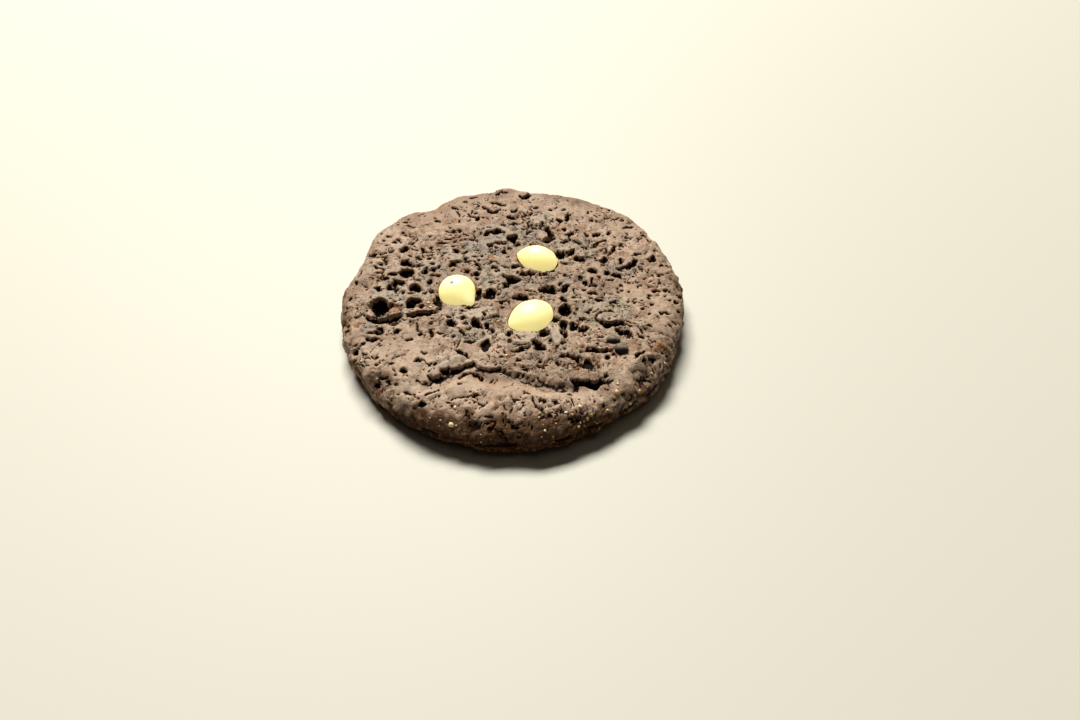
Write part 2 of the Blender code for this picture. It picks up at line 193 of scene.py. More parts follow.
# Slits and trenches: half width, depth and the line they follow
SLITS = [
    (0.5, 1.4, [(-8.3, 40.8), (-7.8, 41.6), (-6.8, 42.6)]), (0.35, 0.8, [(-6.5, 42.4), (-5, 42)]),
    (0.5, 1.3, [(-1.3, 40.8), (-0.4, 40), (0.4, 40.6), (1.3, 41.8), (2.2, 42.4)]),
    (0.35, 0.6, [(-16.4, 38.6), (-15.2, 39.1), (-14.2, 39.3)]),
    (0.28, 0.5, [(-19.5, 32.8), (-19, 31.8), (-18.4, 30.4)]),
    (0.3, 0.7, [(-9.8, 36.8), (-7.8, 37), (-6.4, 36.3), (-5.3, 35.6)]),
    (0.45, 1.2, [(-12, 34.7), (-10.8, 33.8), (-9.6, 32.5), (-8.8, 32)]),
    (0.3, 0.7, [(-8.8, 32), (-7.6, 32.9), (-6.5, 34.4)]),
    (0.35, 0.9, [(-16.3, 31.3), (-14.8, 30.4), (-13.4, 29.8)]),
    (0.3, 0.6, [(-12.2, 30), (-10.2, 29.7)]), (0.38, 0.9, [(-3.3, 33.5), (-2, 33.5), (-1.2, 34.6)]),
    (0.42, 1.1, [(-3.7, 27.4), (-2.3, 27.8), (-1.6, 28.8)]),
    (0.28, 0.8, [(-18.8, 28.6), (-18.4, 27.8), (-18.4, 27)]), (0.28, 0.6, [(-20.5, 25), (-20.4, 24.3)]),
    (0.3, 0.6, [(-38, 20.1), (-37, 19.5)]), (0.3, 0.6, [(-40.3, 20.7), (-39.5, 20.8)]),
    (0.38, 1, [(-34.9, 18.4), (-34.3, 17.6), (-33.8, 16.7)]),
    (0.8, 1.7, [(-31.2, 15.2), (-32.4, 14.4), (-33.4, 13.4)]),
    (0.3, 0.8, [(-40.5, 11.1), (-39, 11.2), (-37.8, 11.6)]),
    (0.42, 1, [(-37.5, 11.6), (-37.6, 10.2), (-36.7, 8.8), (-36.3, 8.1)]),
    (0.42, 1.1, [(-39.9, 7.2), (-38.5, 6.3), (-36.8, 5.9)]),
    (0.35, 1, [(-28.1, 8.2), (-27.2, 8.5), (-26.2, 8.3)]), (0.28, 0.6, [(-28.7, 11), (-27.3, 11)]),
    (0.28, 0.6, [(-27.7, 13.3), (-26.8, 13.9), (-26.3, 13.5)]),
    (0.38, 0.9, [(-24, 4.8), (-22.4, 4.4), (-20.8, 4.8)]),
    (0.38, 1, [(-22.9, 17.7), (-22, 18.2), (-20.6, 18.3)]), (0.28, 0.5, [(-21.8, 19.5), (-20.5, 19.6)]),
    (0.3, 0.8, [(-17.3, 19.2), (-16.8, 19.7), (-15.6, 19.9)]),
    (0.32, 0.8, [(-13.5, 21.9), (-13, 21), (-13.3, 20.1), (-14.6, 20.2)]),
    (0.32, 0.8, [(-11.9, 22.3), (-11.3, 23.3)]),
    (0.58, 1.6, [(-7.6, 18.3), (-6.4, 18.9), (-5, 18.7), (-3.6, 18.6)]),
    (0.42, 1.3, [(-18.7, 15.4), (-17.8, 14.6), (-16.8, 13.8)]),
    (0.45, 1.3, [(-16.2, 13.4), (-15.2, 14.4)]), (0.28, 0.7, [(-13.2, 12.8), (-11.2, 12.9)]),
    (0.38, 0.9, [(-14.9, 10.8), (-13.4, 11.1)]), (0.75, 2, [(-19.4, 8.7), (-18.3, 9.3), (-17.1, 9.3)]),
    (0.5, 1.1, [(-14.8, 6.6), (-13.4, 7.4)]), (0.38, 1, [(-6.4, 7.4), (-5.3, 6.9)]),
    (0.5, 1.6, [(-3.9, 4.9), (-2.6, 4.6)]), (0.3, 0.7, [(0.4, 31.3), (1.3, 32.3)]),
    (0.28, 0.6, [(3.9, 33.8), (5, 33.9)]), (0.45, 1.3, [(14, 33.2), (13.4, 31.8), (12.5, 30.8)]),
    (0.32, 0.8, [(8.4, 30.1), (9.2, 29.4)]),
    (0.32, 0.8, [(0.3, 28.4), (0.8, 29), (1.6, 28.8), (2, 27.8), (1.8, 26.7)]),
    (0.32, 0.7, [(0, 25.4), (1, 25.3)]), (0.38, 1.1, [(1.5, 23.6), (2.3, 24.3), (3.5, 24.6)]),
    (0.42, 1, [(5.6, 28.6), (6.2, 27.2)]),
    (0.85, 2.4, [(5.4, 26.3), (6.8, 26), (8.2, 24.8), (9, 23), (8.3, 21.4), (7, 20.6)]),
    (0.55, 1.5, [(12.6, 24.1), (13.8, 24.2), (15.2, 25)]),
    (0.38, 0.9, [(14, 23.9), (14.1, 22.6), (14.4, 21.5)]), (0.38, 1, [(11.3, 20.6), (13.8, 20.7)]),
    (0.48, 1.4, [(15.3, 21.2), (16.3, 21.2), (17.6, 20.2)]), (0.58, 1.5, [(17.6, 18.9), (19, 17.9)]),
    (0.48, 0.8, [(18.5, 24.6), (19.3, 23.2)]), (0.65, 1.3, [(22.7, 25), (21.8, 24), (21.3, 23.2)]),
    (0.32, 0.8, [(23.8, 28.1), (24.8, 28.7)]), (0.26, 0.5, [(19.6, 30.7), (20.4, 31), (20.9, 30.1)]),
    (0.28, 0.6, [(19.8, 35), (19.6, 33.8)]),
    (0.24, 0.4, [(23.5, 34.3), (24.8, 34), (25.3, 32.5), (24.4, 31.5)]),
    (0.55, 1.5, [(30.4, 27.8), (31.1, 28.3), (32.5, 28.8)]), (0.28, 0.6, [(30.6, 25.5), (30.4, 22.8)]),
    (0.42, 1.1, [(23.2, 21.3), (24.6, 21.5)]), (0.48, 0.8, [(23.2, 21.3), (21.5, 19.4), (20.5, 18.6)]),
    (0.32, 0.7, [(26.9, 19.3), (27.2, 18.4), (26.3, 16.8), (25.6, 16)]),
    (0.9, 2.4, [(15.4, 17.4), (14.6, 16.4), (13.9, 15.4)]),
    (0.58, 1.5, [(15.6, 13.9), (16.8, 13.2), (18.6, 12.9)]),
    (0.45, 1.1, [(34.6, 16.8), (33.2, 16.5), (32.2, 15.4)]),
    (0.7, 1.4, [(32.8, 13.6), (32, 12.3), (30.8, 11.2), (29.4, 10.2)]),
    (0.38, 1, [(27.7, 12.1), (29, 12.6)]), (0.35, 1.1, [(24.6, 5), (26.4, 5.3)]),
    (0.6, 1.1, [(38, 15.8), (38, 14.3), (37.2, 13.4)]), (0.28, 0.6, [(32.8, 2.9), (33.7, 4)]),
    (0.45, 1.2, [(36.5, 2.3), (37.8, 2.2), (39.2, 1.7)]), (0.6, 1.5, [(0, 9.8), (1.8, 9.3)]),
    (0.7, 2, [(0.8, 6.2), (2.6, 6.9), (4, 6.7)]), (0.48, 1.4, [(6.2, 6.6), (8.4, 6.7)]),
    (0.6, 1.6, [(8.6, 8.7), (9.8, 8)]), (0.32, 0.8, [(11.8, 4.3), (11.6, 2.5)]),
    (0.6, 1.7, [(14, 2.8), (12.9, 1.6), (12.6, 0.3)]),
    (0.6, 1.5, [(-38.2, -1.5), (-37.2, -1.7), (-36, -2.6)]),
    (0.42, 1.4, [(-32.2, -10.8), (-30.3, -9.6)]),
    (0.65, 1.3, [(-38.5, -12.8), (-35.5, -13.8), (-32, -13.3), (-29.5, -11.8)]),
    (0.38, 1, [(-23, -2.2), (-21.5, -2.5)]),
    (0.78, 2.4, [(-27.8, -11.2), (-26.5, -11.1), (-25, -10.1), (-23, -10.1), (-20.6, -9.8)]),
    (0.35, 0.8, [(-43.6, -15.8), (-42.9, -17.2)]),
    (0.55, 1.2, [(-37.2, -17.7), (-35.5, -17.6), (-33.9, -17.9)]),
    (0.5, 1.1, [(-34.5, -16), (-33.2, -16.6)]),
    (0.42, 1.2, [(-37, -19.7), (-35.6, -20.3), (-34, -19.4)]),
    (0.6, 1.9, [(-39.6, -24.4), (-38.8, -23)]), (0.4, 1.4, [(-38.8, -23.2), (-37.2, -21.2)]),
    (0.26, 0.6, [(-25, -14), (-24.5, -16.9)]), (0.55, 1.3, [(-21.3, -16), (-20.6, -18.3)]),
    (0.28, 0.7, [(-19.6, -16.9), (-18.2, -16.8)]), (0.28, 0.7, [(-27.3, -19.9), (-25.2, -19.4)]),
    (0.3, 0.8, [(-22.8, -23.7), (-21.9, -24.3), (-21, -24)]),
    (0.35, 0.9, [(-24, -26.7), (-22.9, -26.3), (-21.9, -26.7)]),
    (0.42, 1.3, [(-14.2, -22.5), (-13, -23.2), (-11.8, -23.3), (-10.8, -24.6)]),
    (0.42, 1.2, [(-17, -30), (-15.5, -29.6), (-14.7, -28.7)]),
    (0.32, 0.8, [(-19.9, -31), (-19, -32.4), (-17.5, -31.6)]),
    (0.48, 1.5, [(-12.4, -30.6), (-10.8, -29.5), (-9, -29.3), (-7.6, -30.1), (-6.4, -31.5)]),
    (0.26, 0.6, [(-17, -34.8), (-18.5, -36), (-19.7, -37)]),
    (0.24, 0.5, [(-24, -36.5), (-22.5, -37.2), (-21.4, -38.2)]),
    (0.28, 0.7, [(-13.5, -38), (-11, -37.6), (-9, -36.9)]), (0.42, 1.2, [(-9, -36.9), (-7, -36.8)]),
    (0.42, 1.3, [(-12.6, -7.4), (-11.2, -7.8), (-9.4, -7.6)]),
    (0.3, 0.9, [(-14.4, -8.8), (-13.8, -9.2)]), (0.35, 1, [(-13.6, -16), (-12.2, -16.8)]),
    (0.28, 0.9, [(-12.6, -19.3), (-11, -19.5), (-9, -18.9)]),
    (0.45, 1.3, [(21.3, -2.1), (22.3, -2.8), (23.5, -3)]),
    (0.32, 1, [(18.4, -6.9), (19.3, -7), (19.9, -6.3)]),
    (0.32, 0.9, [(21, -9.3), (21.8, -8.2), (23, -7.3), (24.7, -6.9), (26, -6.7)]),
    (0.42, 1.3, [(22.2, -10.9), (23.6, -11.8), (25, -11.2), (27, -10.9), (28.5, -10.4)]),
    (0.55, 1.6, [(5, -18.7), (6.2, -19.7)]), (0.5, 1.5, [(0.2, -22.2), (1.8, -21.6), (4.6, -20.6)]),
    (0.45, 1.5, [(12, -23.6), (13.8, -23.2), (16, -24)]),
    (0.55, 1.9, [(18.8, -20.8), (20.8, -20.5), (23, -20.8), (24.8, -20.6)]),
    (0.28, 0.7, [(16.8, -22.2), (18.8, -21.3)]),
    (0.35, 1.2, [(30.8, -23.2), (31, -22.1), (32.5, -21), (34.2, -20.3)]),
    (0.75, 1.6, [(15.2, -30.7), (17, -31.3), (19.5, -31.1), (21, -31.2), (22.5, -30.2)]),
    (0.3, 0.7, [(10, -37.3), (12.3, -37.7)]), (0.22, 0.4, [(2.7, -31), (5.4, -31.7)]),
    (0.5, 1.2, [(43.3, -1.2), (42.2, -2.2)]), (0.24, 0.6, [(31.6, -2.6), (32, -3.4), (32.4, -2.4)]),
]

# Broad shallow dents: as the pits
DENTS = [
    (-32, -33.2, 2.6, 2.6, 0, 0.9), (32, -28.3, 2.8, 3.2, 40, 1.2), (21.3, -25, 1.5, 2.5, 0, 0.7),
    (-31.7, -8.6, 2.2, 1.4, 0, 1), (28.4, -12.8, 2, 2, 0, 0.8), (6, -28.6, 5, 1.2, -8, 0.5),
    (-36, -17.5, 2.6, 2.2, 0, 0.5), (-27.5, 5.5, 3.2, 3, 0, 0.4), (37, 16, 2, 2, 0, 0.4),
]

# Lifted flakes and melted chunks with crisp edges: as the pits, with a height
FLAKES = [
    (3, -17.3, 3.5, 2.4, 4, 0.63), (10.9, -15.4, 1.6, 4.1, 14, 0.63),
    (13.2, -21.5, 1.6, 1.3, -20, 0.63), (-15.7, -28.1, 1.7, 4.9, -47, 0.77),
    (-9.2, 34.4, 2.9, 1.5, -8, 0.32), (25.6, -1.8, 1.4, 1.3, 40, 0.28), (24.8, -9, 3.2, 1.7, 0, 0.56),
    (-20.4, -35, 3, 2, 28, 0.24), (-8.6, -9.6, 4.6, 1.9, 22, 0.56), (-13.2, -12.2, 2.4, 2.6, 0, 0.35),
    (-10.4, -38.6, 3, 0.9, 6, 0.42), (-38, 9.4, 1.6, 1.2, 0, 0.28), (13, 22.6, 1.3, 1.6, -20, 0.42),
    (17, 15.6, 1.7, 1.6, 0, 0.49), (4.7, 30, 2.3, 2.6, 0, 0.42), (6.2, 23, 1.6, 2, 0, 0.35),
    (25.9, 18.2, 0.9, 2, -18, 0.42), (33.4, -21.9, 2.2, 0.8, 28, 0.56),
    (-24.3, -15, 0.4, 1.7, -10, 0.42), (-18.2, 12, 2.6, 1.6, 10, 0.28), (-22.6, -28, 1, 0.45, -6, 0.24),
    (-27.8, 2, 1.8, 2.4, 0, 0.28), (1.1, 27.6, 0.8, 1, 0, 0.35), (15.6, -17.5, 1.7, 1.5, 0, 0.28),
    (-11, 3, 1.4, 1.6, 0, 0.21), (-36.6, -18.6, 2, 0.7, -10, 0.35), (33, 24.6, 1.9, 1.6, 30, 0.24),
    (22.4, 32.6, 1.9, 2, 10, 0.21), (-4.3, -22.8, 1.9, 1.6, 0, 0.28), (37.2, 5.4, 1.5, 2.2, -10, 0.28),
]

# Smooth lumps and domes: as the pits, with a height
LUMPS = [
    (-13.2, -9.2, 2.6, 3.6, 50, 0.4), (-8, -11, 2.6, 3.8, 60, 0.32), (-5, 6, 2.6, 3.2, 0, 0.4),
    (20, 3.6, 2.8, 3.6, 20, 0.32), (22.6, -5, 2.6, 3.2, 60, 0.4), (-7, -23, 1.8, 3.4, 70, 0.4),
    (-28.6, -4, 1.4, 1.8, 30, 0.4), (-33.6, 3.4, 1.6, 2.2, 60, 0.32), (-20.8, -35, 2.4, 3.2, 70, 0.16),
    (29, -24, 2, 3, -50, 0.32), (-0.5, -25, 1.8, 4.2, 88, 0.4), (26, -31.5, 2, 3.4, 60, 0.32),
    (34, 6, 2.6, 3, 0, 0.24), (33.9, -11.5, 1.2, 0.9, 0, 0.7), (-26.3, -29, 0.8, 0.7, 0, 0.4),
    (-40.5, -14.6, 1.1, 0.9, 0, 0.4), (37, 15.8, 1.3, 1.4, 0, 0.48), (-24.8, -34.4, 0.9, 1.1, 0, 0.4),
    (-11, -32.3, 1.2, 0.7, 20, 0.4), (1.5, -24.3, 1.3, 1.1, 0, 0.4), (8.6, -23, 1.6, 1.4, 0, 0.48),
    (5.5, -22.6, 1.4, 1.1, 0, 0.4), (10, -26.5, 1.5, 1, 0, 0.4), (14, -27, 1.5, 1, 0, 0.4),
    (21.5, -28.6, 2, 0.9, 10, 0.32), (4, -38, 1.6, 1.2, 0, 0.4), (0.6, -38.2, 1.5, 1.2, 0, 0.4),
    (-3, -36.5, 1.4, 1.2, 0, 0.4), (13.6, -37.8, 1.5, 1.2, 0, 0.4), (18.8, -37.4, 1.5, 1.3, 0, 0.4),
    (22.5, -35.8, 1.4, 1.2, 0, 0.32), (-4.5, -40, 1.4, 1, 0, 0.4), (9.6, -35.8, 1.4, 0.9, 0, 0.32),
    (-2, -44, 1.6, 1.4, 40, 0.48),
]

# Smooth beads of dark chocolate that stand out of the dough: x, y, half width, half length, height
BEADS = [
    (25.5, -17.1, 1.75, 1.45, 1.05), (27.5, -20, 1.9, 1.6, 1.15),
]

# Thin raised rims of lifted crust: half width, height and line
RIMS = [
    (0.42, 0.85, [(-40, -9.6), (-38.8, -11.4), (-36.7, -12.5), (-34.3, -12), (-32, -11.5),
        (-29.8, -10.6)]),
    (0.5, 0.52, [(-39.2, -8.6), (-38.6, -7.2), (-37.6, -6.4)]),
    (0.3, 0.45, [(-11, -28.7), (-9, -28.5), (-7.3, -29.3), (-5.8, -31.5)]),
    (0.3, 0.39, [(-14.9, -30.3), (-13.4, -28.6), (-12, -27.2)]),
    (0.35, 0.52, [(31.5, -23.2), (33.5, -21.9), (35.8, -21.2)]),
    (0.45, 0.33, [(-24.4, -13.2), (-24.2, -16.4)]),
    (0.4, 0.33, [(25.7, 19.8), (26.6, 18.3), (25.2, 17)]),
    (0.3, 0.39, [(-27.6, -12.4), (-26.2, -13), (-24.8, -11.8)]),
]

# Zones of broken, pitted dough: x, y, half width, half length, turn in degrees, strength
ROUGH_ZONES = [
    (-28, 1, 9, 10, 0, 1), (-27, -10, 5, 12, 85, 0.9), (-33, -15, 5, 6, 0, 0.7), (-6, 4, 11, 7, 0, 1),
    (7, 3, 9, 6, 0, 1), (-10, -13, 8, 6, 0, 0.9), (3, -19, 9, 4, 0, 0.8), (13, -12, 6, 7, 0, 1),
    (22, -7, 9, 8, 0, 0.7), (28, 11, 7, 4.5, 0, 1), (21, 8, 6, 6, 0, 0.8), (3, 22, 13, 6, 0, 1),
    (-13, 16, 10, 6, 0, 0.7), (-26, 14, 8, 5, 0, 0.6), (4, 30, 8, 4, 0, 0.5), (16, 18, 7, 7, 0, 0.8),
    (25, -14, 6, 6, 0, 0.7), (9, -25, 14, 4, 0, 0.8), (20, -27, 6, 4, 0, 0.7), (22, 24, 5, 4, 0, 0.4),
    (-3, -22, 5, 4, 0, 0.6), (10, -40, 16, 3.5, 0, 0.5), (38, -17.5, 2.5, 3, 0, 0.7),
    (-14, -41.5, 9, 2, -10, 0.4),
]

# Dark chocolate that has melted into the dough and shows grey: as above
CHOCOLATE_ZONES = [
    (-10.5, -12.5, 7.5, 6.5, 0, 1), (2.6, -17.4, 4.6, 3.2, 0, 1), (11, -15.2, 2.4, 4.6, 14, 1),
    (4.7, 29.8, 3.6, 4, 0, 0.9), (-5, 5, 7, 6, 0, 0.9), (-30, -2.5, 7.5, 6, 0, 0.9),
    (23, -6.5, 7, 5.5, 0, 0.8), (-15.7, -28.1, 2.4, 5.2, -47, 1), (28, 10, 5.5, 3.5, 0, 0.9),
    (8, 3, 6, 4.5, 0, 0.7), (-3, 21, 9, 7, 0, 0.9), (-26, 4, 6, 6, 0, 0.8), (-15, 14.5, 8, 4.5, 0, 0.7),
    (15, 17.5, 5.5, 5, 0, 0.8), (27.2, -12.8, 3, 2.2, 0, 1), (-35, -15, 4.6, 3.4, 0, 0.6),
    (17, 2, 6, 4, 0, 0.6), (16.5, -10, 5, 4, 0, 0.8), (13.4, -21.4, 2, 1.6, 0, 0.8),
    (-27.5, -11.5, 4, 2, 0, 0.7), (-22.4, -28, 1.2, 0.7, 0, 0.9), (6, 23, 4, 5, 0, 0.8),
    (-24.8, -34.4, 1, 1.3, 0, 0.7), (33.8, -10.9, 1.1, 0.9, 0, 0.6), (-36, -3.5, 2.5, 2, 0, 0.6),
    (-38, 17.5, 3.5, 4, 0, 0.3),
]

# Crumb that shows orange brown: as above
WARM_ZONES = [
    (-31.7, -8.2, 1.9, 1.2, 0, 1), (-23.6, -6.6, 1.4, 1, 0, 1), (-22.2, 4.6, 2, 0.7, 0, 0.9),
    (-44, -13.8, 0.7, 1, 0, 0.9), (-40.3, -15.3, 1, 1.2, 0, 0.8), (11, 27, 0.8, 0.9, 0, 0.8),
    (13, 28.4, 0.9, 0.5, 0, 0.8), (28.5, 33.3, 1.2, 1.4, 0, 0.5), (25.6, 24.9, 0.6, 0.9, 0, 0.9),
    (23.4, 10.8, 0.8, 0.8, 0, 0.9), (21.3, -24.8, 1.2, 2.2, 0, 0.6), (37.4, -17.8, 2.4, 1.5, 0, 0.8),
    (3.4, -21.2, 1.4, 0.7, 0, 0.9), (-0.9, -23.6, 1.2, 1, 0, 0.7), (-13.6, 7, 1.2, 1.2, 0, 0.8),
    (-7.7, 12.7, 1, 1, 0, 0.8), (-6.5, 28.3, 0.9, 0.6, 0, 0.8), (-37, 10, 0.7, 1.6, 0, 0.8),
    (-41.4, 12.4, 1, 1.2, 0, 0.8), (20.6, 24, 0.8, 1.2, 0, 0.6), (14.8, 37, 0.4, 1.6, 0, 0.7),
    (1.2, -2.8, 1.5, 1.2, 0, 0.7), (6, -13.6, 1.6, 0.8, 0, 0.7), (18.6, -13.4, 1.4, 1, 0, 0.7),
    (-4.4, -13, 2, 1.6, 0, 0.7), (34.8, 21.6, 0.5, 3, 10, 0.6), (36.6, 23, 0.5, 3, 30, 0.6),
    (29, 20.3, 0.6, 0.6, 0, 0.8), (38.5, 19, 1, 0.8, 0, 0.5), (-36.4, 2.6, 1.2, 1, 0, 0.6),
    (-20.6, -16.5, 0.7, 1.2, 0, 0.7), (-36, -17.4, 1.8, 0.7, 0, 0.6), (16.2, -3.4, 0.7, 0.4, 0, 0.9),
    (20.8, -37, 0.8, 0.6, 0, 0.7), (-24.4, 34.6, 0.6, 1.6, -20, 0.9), (11.6, 15, 1.3, 1.3, 0, 0.5),
    (-37, -31, 0.8, 5, 42, 0.7), (12, -2.6, 1, 1.3, 0, 0.6), (22, 19, 0.8, 1.4, -40, 0.7),
]

# Parts of the top that are darker as a whole, among them the painted shadow on the crease's front face: as
# above
SHADE_ZONES = [
    (-19, 4, 8, 5, 0, 0.9), (-3.5, 17, 6, 5, 0, 0.6), (12, 4, 6, 7, 0, 0.65), (21, 5, 7, 5, 0, 0.55),
    (0, 1, 5, 5, 0, 0.7), (-2.5, -6, 4, 4, 0, 0.6), (13, -7, 4.5, 5, 0, 0.7), (6, -24.5, 8, 3, -6, 0.7),
    (14, -23, 6, 4, 0, 0.5), (37, -15, 5, 7, 20, 0.6), (37, -25, 5, 8, -40, 0.5),
    (-36, -16, 5, 8, 25, 0.2), (-24, -8, 6, 5, 0, 0.5), (30, 30, 6, 5, 0, 0.35),
    (37, 15, 5, 6, 0, 0.35), (43, 0, 3, 12, 0, 0.5), (-33, 34, 6, 6, 0, 0.3), (-39, 3, 6, 10, 0, 0.3),
    (17, 24, 5, 5, 0, 0.3), (3, 24, 6, 3, 0, 0.4), (19, -27.5, 6, 3, 0, 0.4), (-8, 10, 5, 3, 0, 0.4),
    (24, 10, 7, 3, 0, 0.3), (12, -19, 6, 3, 0, 0.3), (-29, -32.5, 2.5, 3, 0, 0.35),
    # Painted shadow on the front face of the crease
    (-6, -29.8, 4.5, 1.7, -10, 1.2), (5, -30.2, 6, 1.8, -8, 1.1), (14, -31, 5, 2.2, -4, 1.1),
    (-35, -19, 4, 4, 0, 0.5), (14, 42, 13, 3.4, -14, 0.95), (-12, 41, 9, 3, 10, 0.6),
    (-42.5, 4, 3, 7, 0, 0.5), (36.5, -30, 4, 4, 0, 0.45), (36, -18, 3, 3, 0, 0.4),
    (-33, -18, 5, 2.6, 0, 0.5), (-12.5, -36, 2.5, 1.6, 0, 0.9), (7, 17, 5, 3, 0, 0.7),
    (30, 31, 5, 3, -45, 0.5), (41.5, 8, 3, 9, 0, 0.45), (-21, 3, 3, 3, 0, 0.5), (-8, -4, 3, 4, 0, 0.5),
]

# Parts of the top that are paler as a whole: as above
PALE_ZONES = [
    (-14, -35.5, 9, 3.4, 0, 1), (5, -33.5, 9, 3, 0, 0.7), (16, -36, 9, 2.8, 0, 1),
    (29, -30.5, 3, 2, 0, 0.6), (-11.5, -11.5, 5, 4, 0, 1), (-14, -22, 5, 3, 0, 0.4),
    (27, -4, 5, 3, 0, 0.4), (-30, -24, 6, 4, 0, 0.3), (6, 35, 8, 3, 0, 0.2),
    (-18, -31.5, 2.5, 3, 40, 1), (-19, -36, 4, 2.5, 0, 1), (30, -28.5, 3.5, 3, 0, 1),
    (30, -23.5, 3, 2.5, 0, 1), (31, 0, 4, 4, 0, 0.8), (12, -35.5, 4, 2.5, 0, 1),
    (-33, -6, 4, 3, 0, 0.8), (-6, -24, 3, 2, 0, 0.8),
]

# Smooth, even skin: as above
CALM_ZONES = [
    (-23, 33, 10, 6, 35, 1), (1, -33.2, 15, 2.6, -4, 0.9), (-27, -23, 7, 6, 0, 0.5),
    (12, 38, 14, 5, -16, 0.4), (34, -1, 6, 7, 0, 0.4), (-12, 39, 10, 4, 16, 0.6),
]

# Dough in small round lumps: as above
LUMPY_ZONES = [
    (8, -39, 15, 2.8, -3, 1), (-20, -39.5, 8, 2, -18, 0.5), (2, -25, 8, 2, -6, 0.7),
    (20, -21, 8, 6, -20, 0.5), (36, -16, 4, 8, 0, 0.5), (-14, -16, 6, 4, 0, 0.5),
]

# Where the dark wall begins, by direction in degrees: radius in millimetres
WALL_START = [
    (-180, 46), (-160, 46.8), (-145, 46.8), (-128, 46.2), (-112, 43.6), (-103, 41.8), (-92, 42.2),
    (-83, 41.6), (-72, 42.6), (-58, 42.6), (-40, 42.4), (-22, 43.8), (0, 45.2), (25, 46), (60, 47.5),
    (120, 47.5), (180, 46),
]

# Golden grains, where the photo's camera sees them against the level of the top: x, y, size
GRAINS = [
    (26, -33.8, 1.2), (26.3, -31.3, 0.6), (31.5, -33.2, 0.8), (17, -38.8, 1.1), (13.8, -40.7, 0.8),
    (19.8, -41, 0.7), (18.8, -42.3, 0.7), (7.6, -41.3, 0.8), (7.5, -42.5, 0.6), (9, -46.2, 0.8),
    (16.7, -44.7, 0.7), (18, -44.2, 0.6), (15.3, -41.2, 0.6), (-12.8, -45.7, 1.4), (-12.4, -40.6, 0.9),
    (-13.7, 27.7, 0.6), (-19.3, 27.3, 0.5), (-22, 21.5, 0.5), (14, 27.5, 0.6), (4.5, 40, 0.6),
    (-23, -6.4, 0.9), (-22.3, -8, 0.8), (-1.3, -23.7, 0.7), (-33.5, -30.5, 0.5), (-36.8, -27.5, 0.6),
    (34.8, -27.5, 0.7), (38.2, -24, 0.6), (29, -37.2, 0.7), (23.5, -39.5, 0.7), (11.5, -44, 0.6),
]

# White chocolate drops: node, centre, half sizes, turn in degrees, direction and length of the tip
DROPS = [
    ("white_chip_left", (-15.9, -1.4, 9.2), (5.0, 5.0, 4.0), 0, (0.66, -0.75, 0.1), 1.9),
    ("white_chip_back", (5.2, 12.7, 9.4), (5.7, 3.9, 3.7), -17, (-0.97, 0.25, 0.0), 0.3),
    ("white_chip_front", (4.3, -9.8, 9.4), (6.2, 4.7, 3.7), 33, (-0.87, -0.5, 0.0), 0.4),
]

# The small brown speck on the left drop
DROP_SPECK = (-17.05, -2.0, 13.05)

# How much a drop is dented and narrowed toward its tip, and the depth of the socket under it
DROP_DENT = 0.03
DROP_TAPER = 0.28
SOCKET_DEPTH = 1.4

# Unevenness of beads, and of grains and crumbs
BEAD_UNEVENNESS = 0.12
BIT_UNEVENNESS = 0.55

# Height from which rays fall on the dough; start, rise and end of those that meet the wall
RAY_HEIGHT = 50.0
WALL_RAY_START = 100.0
WALL_RAY_RISE = 40.0
WALL_RAY_END = 44.0

# Golden grains by chance: heights on the wall, sizes, and how far out of it as a share of the size
GRAIN_HEIGHTS = (1.5, 8.6)
GRAIN_SIZES = (0.25, 0.55)
GRAIN_RISE = 0.1

# Loose crumbs: sizes, rise as a share of the size, how far from the middle, how far from the drops
# in their half sizes, and the share of crumbs on unbroken dough
CRUMB_SIZES = (0.25, 0.75)
CRUMB_RISE = 0.05
CRUMB_REACH = 43.0
CRUMB_CLEARANCE = 1.15
CRUMB_LEAST = 0.12

# Camera of the photograph, in millimetres and degrees, with its lens and sensor
CAMERA_PLACE = Vector((7.1, -151.9, 156.1))
CAMERA_DOWN = 49.06
CAMERA_ROLL = 2.46
CAMERA_LENS = 26.0
SENSOR_WIDTH = 36.0

# Lights: name, place and sides in metres, power in watts, colour
LIGHTS = [
    ("window", (-0.42, 1.27, 1.62), (1.2, 0.5), 86.0, (1.0, 0.97, 0.90)),
    ("ceiling", (0.1, 0.2, 2.2), (1.6, 1.6), 2.3, (1.0, 0.87, 0.70)),
]

# Light of the room itself, and the floor's size and height in metres
ROOM_COLOUR = (1.0, 0.85, 0.68)
ROOM_STRENGTH = 0.016
FLOOR_SIZE = 6.0
FLOOR_HEIGHT = -0.0001


def eased(amount):
    """Smooth step from 0 to 1."""
    amount = np.clip(amount, 0.0, 1.0)
    return amount * amount * (3.0 - 2.0 * amount)


def rising(values, start, width):
    """0 below the start, and smoothly up to 1 over this width above it."""
    return eased((values - start) / width)


def falling(values, end, width):
    """0 above the end, and smoothly up to 1 over this width below it."""
    return eased((end - values) / width)


def field(place, size, seed):
    """Smooth noise with lumps of this size, one value for each place."""
    shifted = place / size + np.array([seed * 17.3, seed * 5.1, seed * 11.7])
    return np.array([noise.noise(point) for point in shifted.tolist()])


def patches(place, size, seed, contrast, middle):
    """Soft patches from 0 to 1, sharper with more contrast and wider with a higher middle."""
    return eased(middle + contrast * field(place, size, seed))


def layered(place):
    """Smooth noise whose level lines are the edges of the dough's thin layers."""
    return field(place, 5.0, 21) + 0.5 * field(place, 2.2, 22)


def stepped(values, step, sharpness):
    """Values gathered into level shelves with steep edges between them."""
    level = values / step
    base = np.floor(level)
    return step * (base + eased((level - base - 1.0 + sharpness) / sharpness))


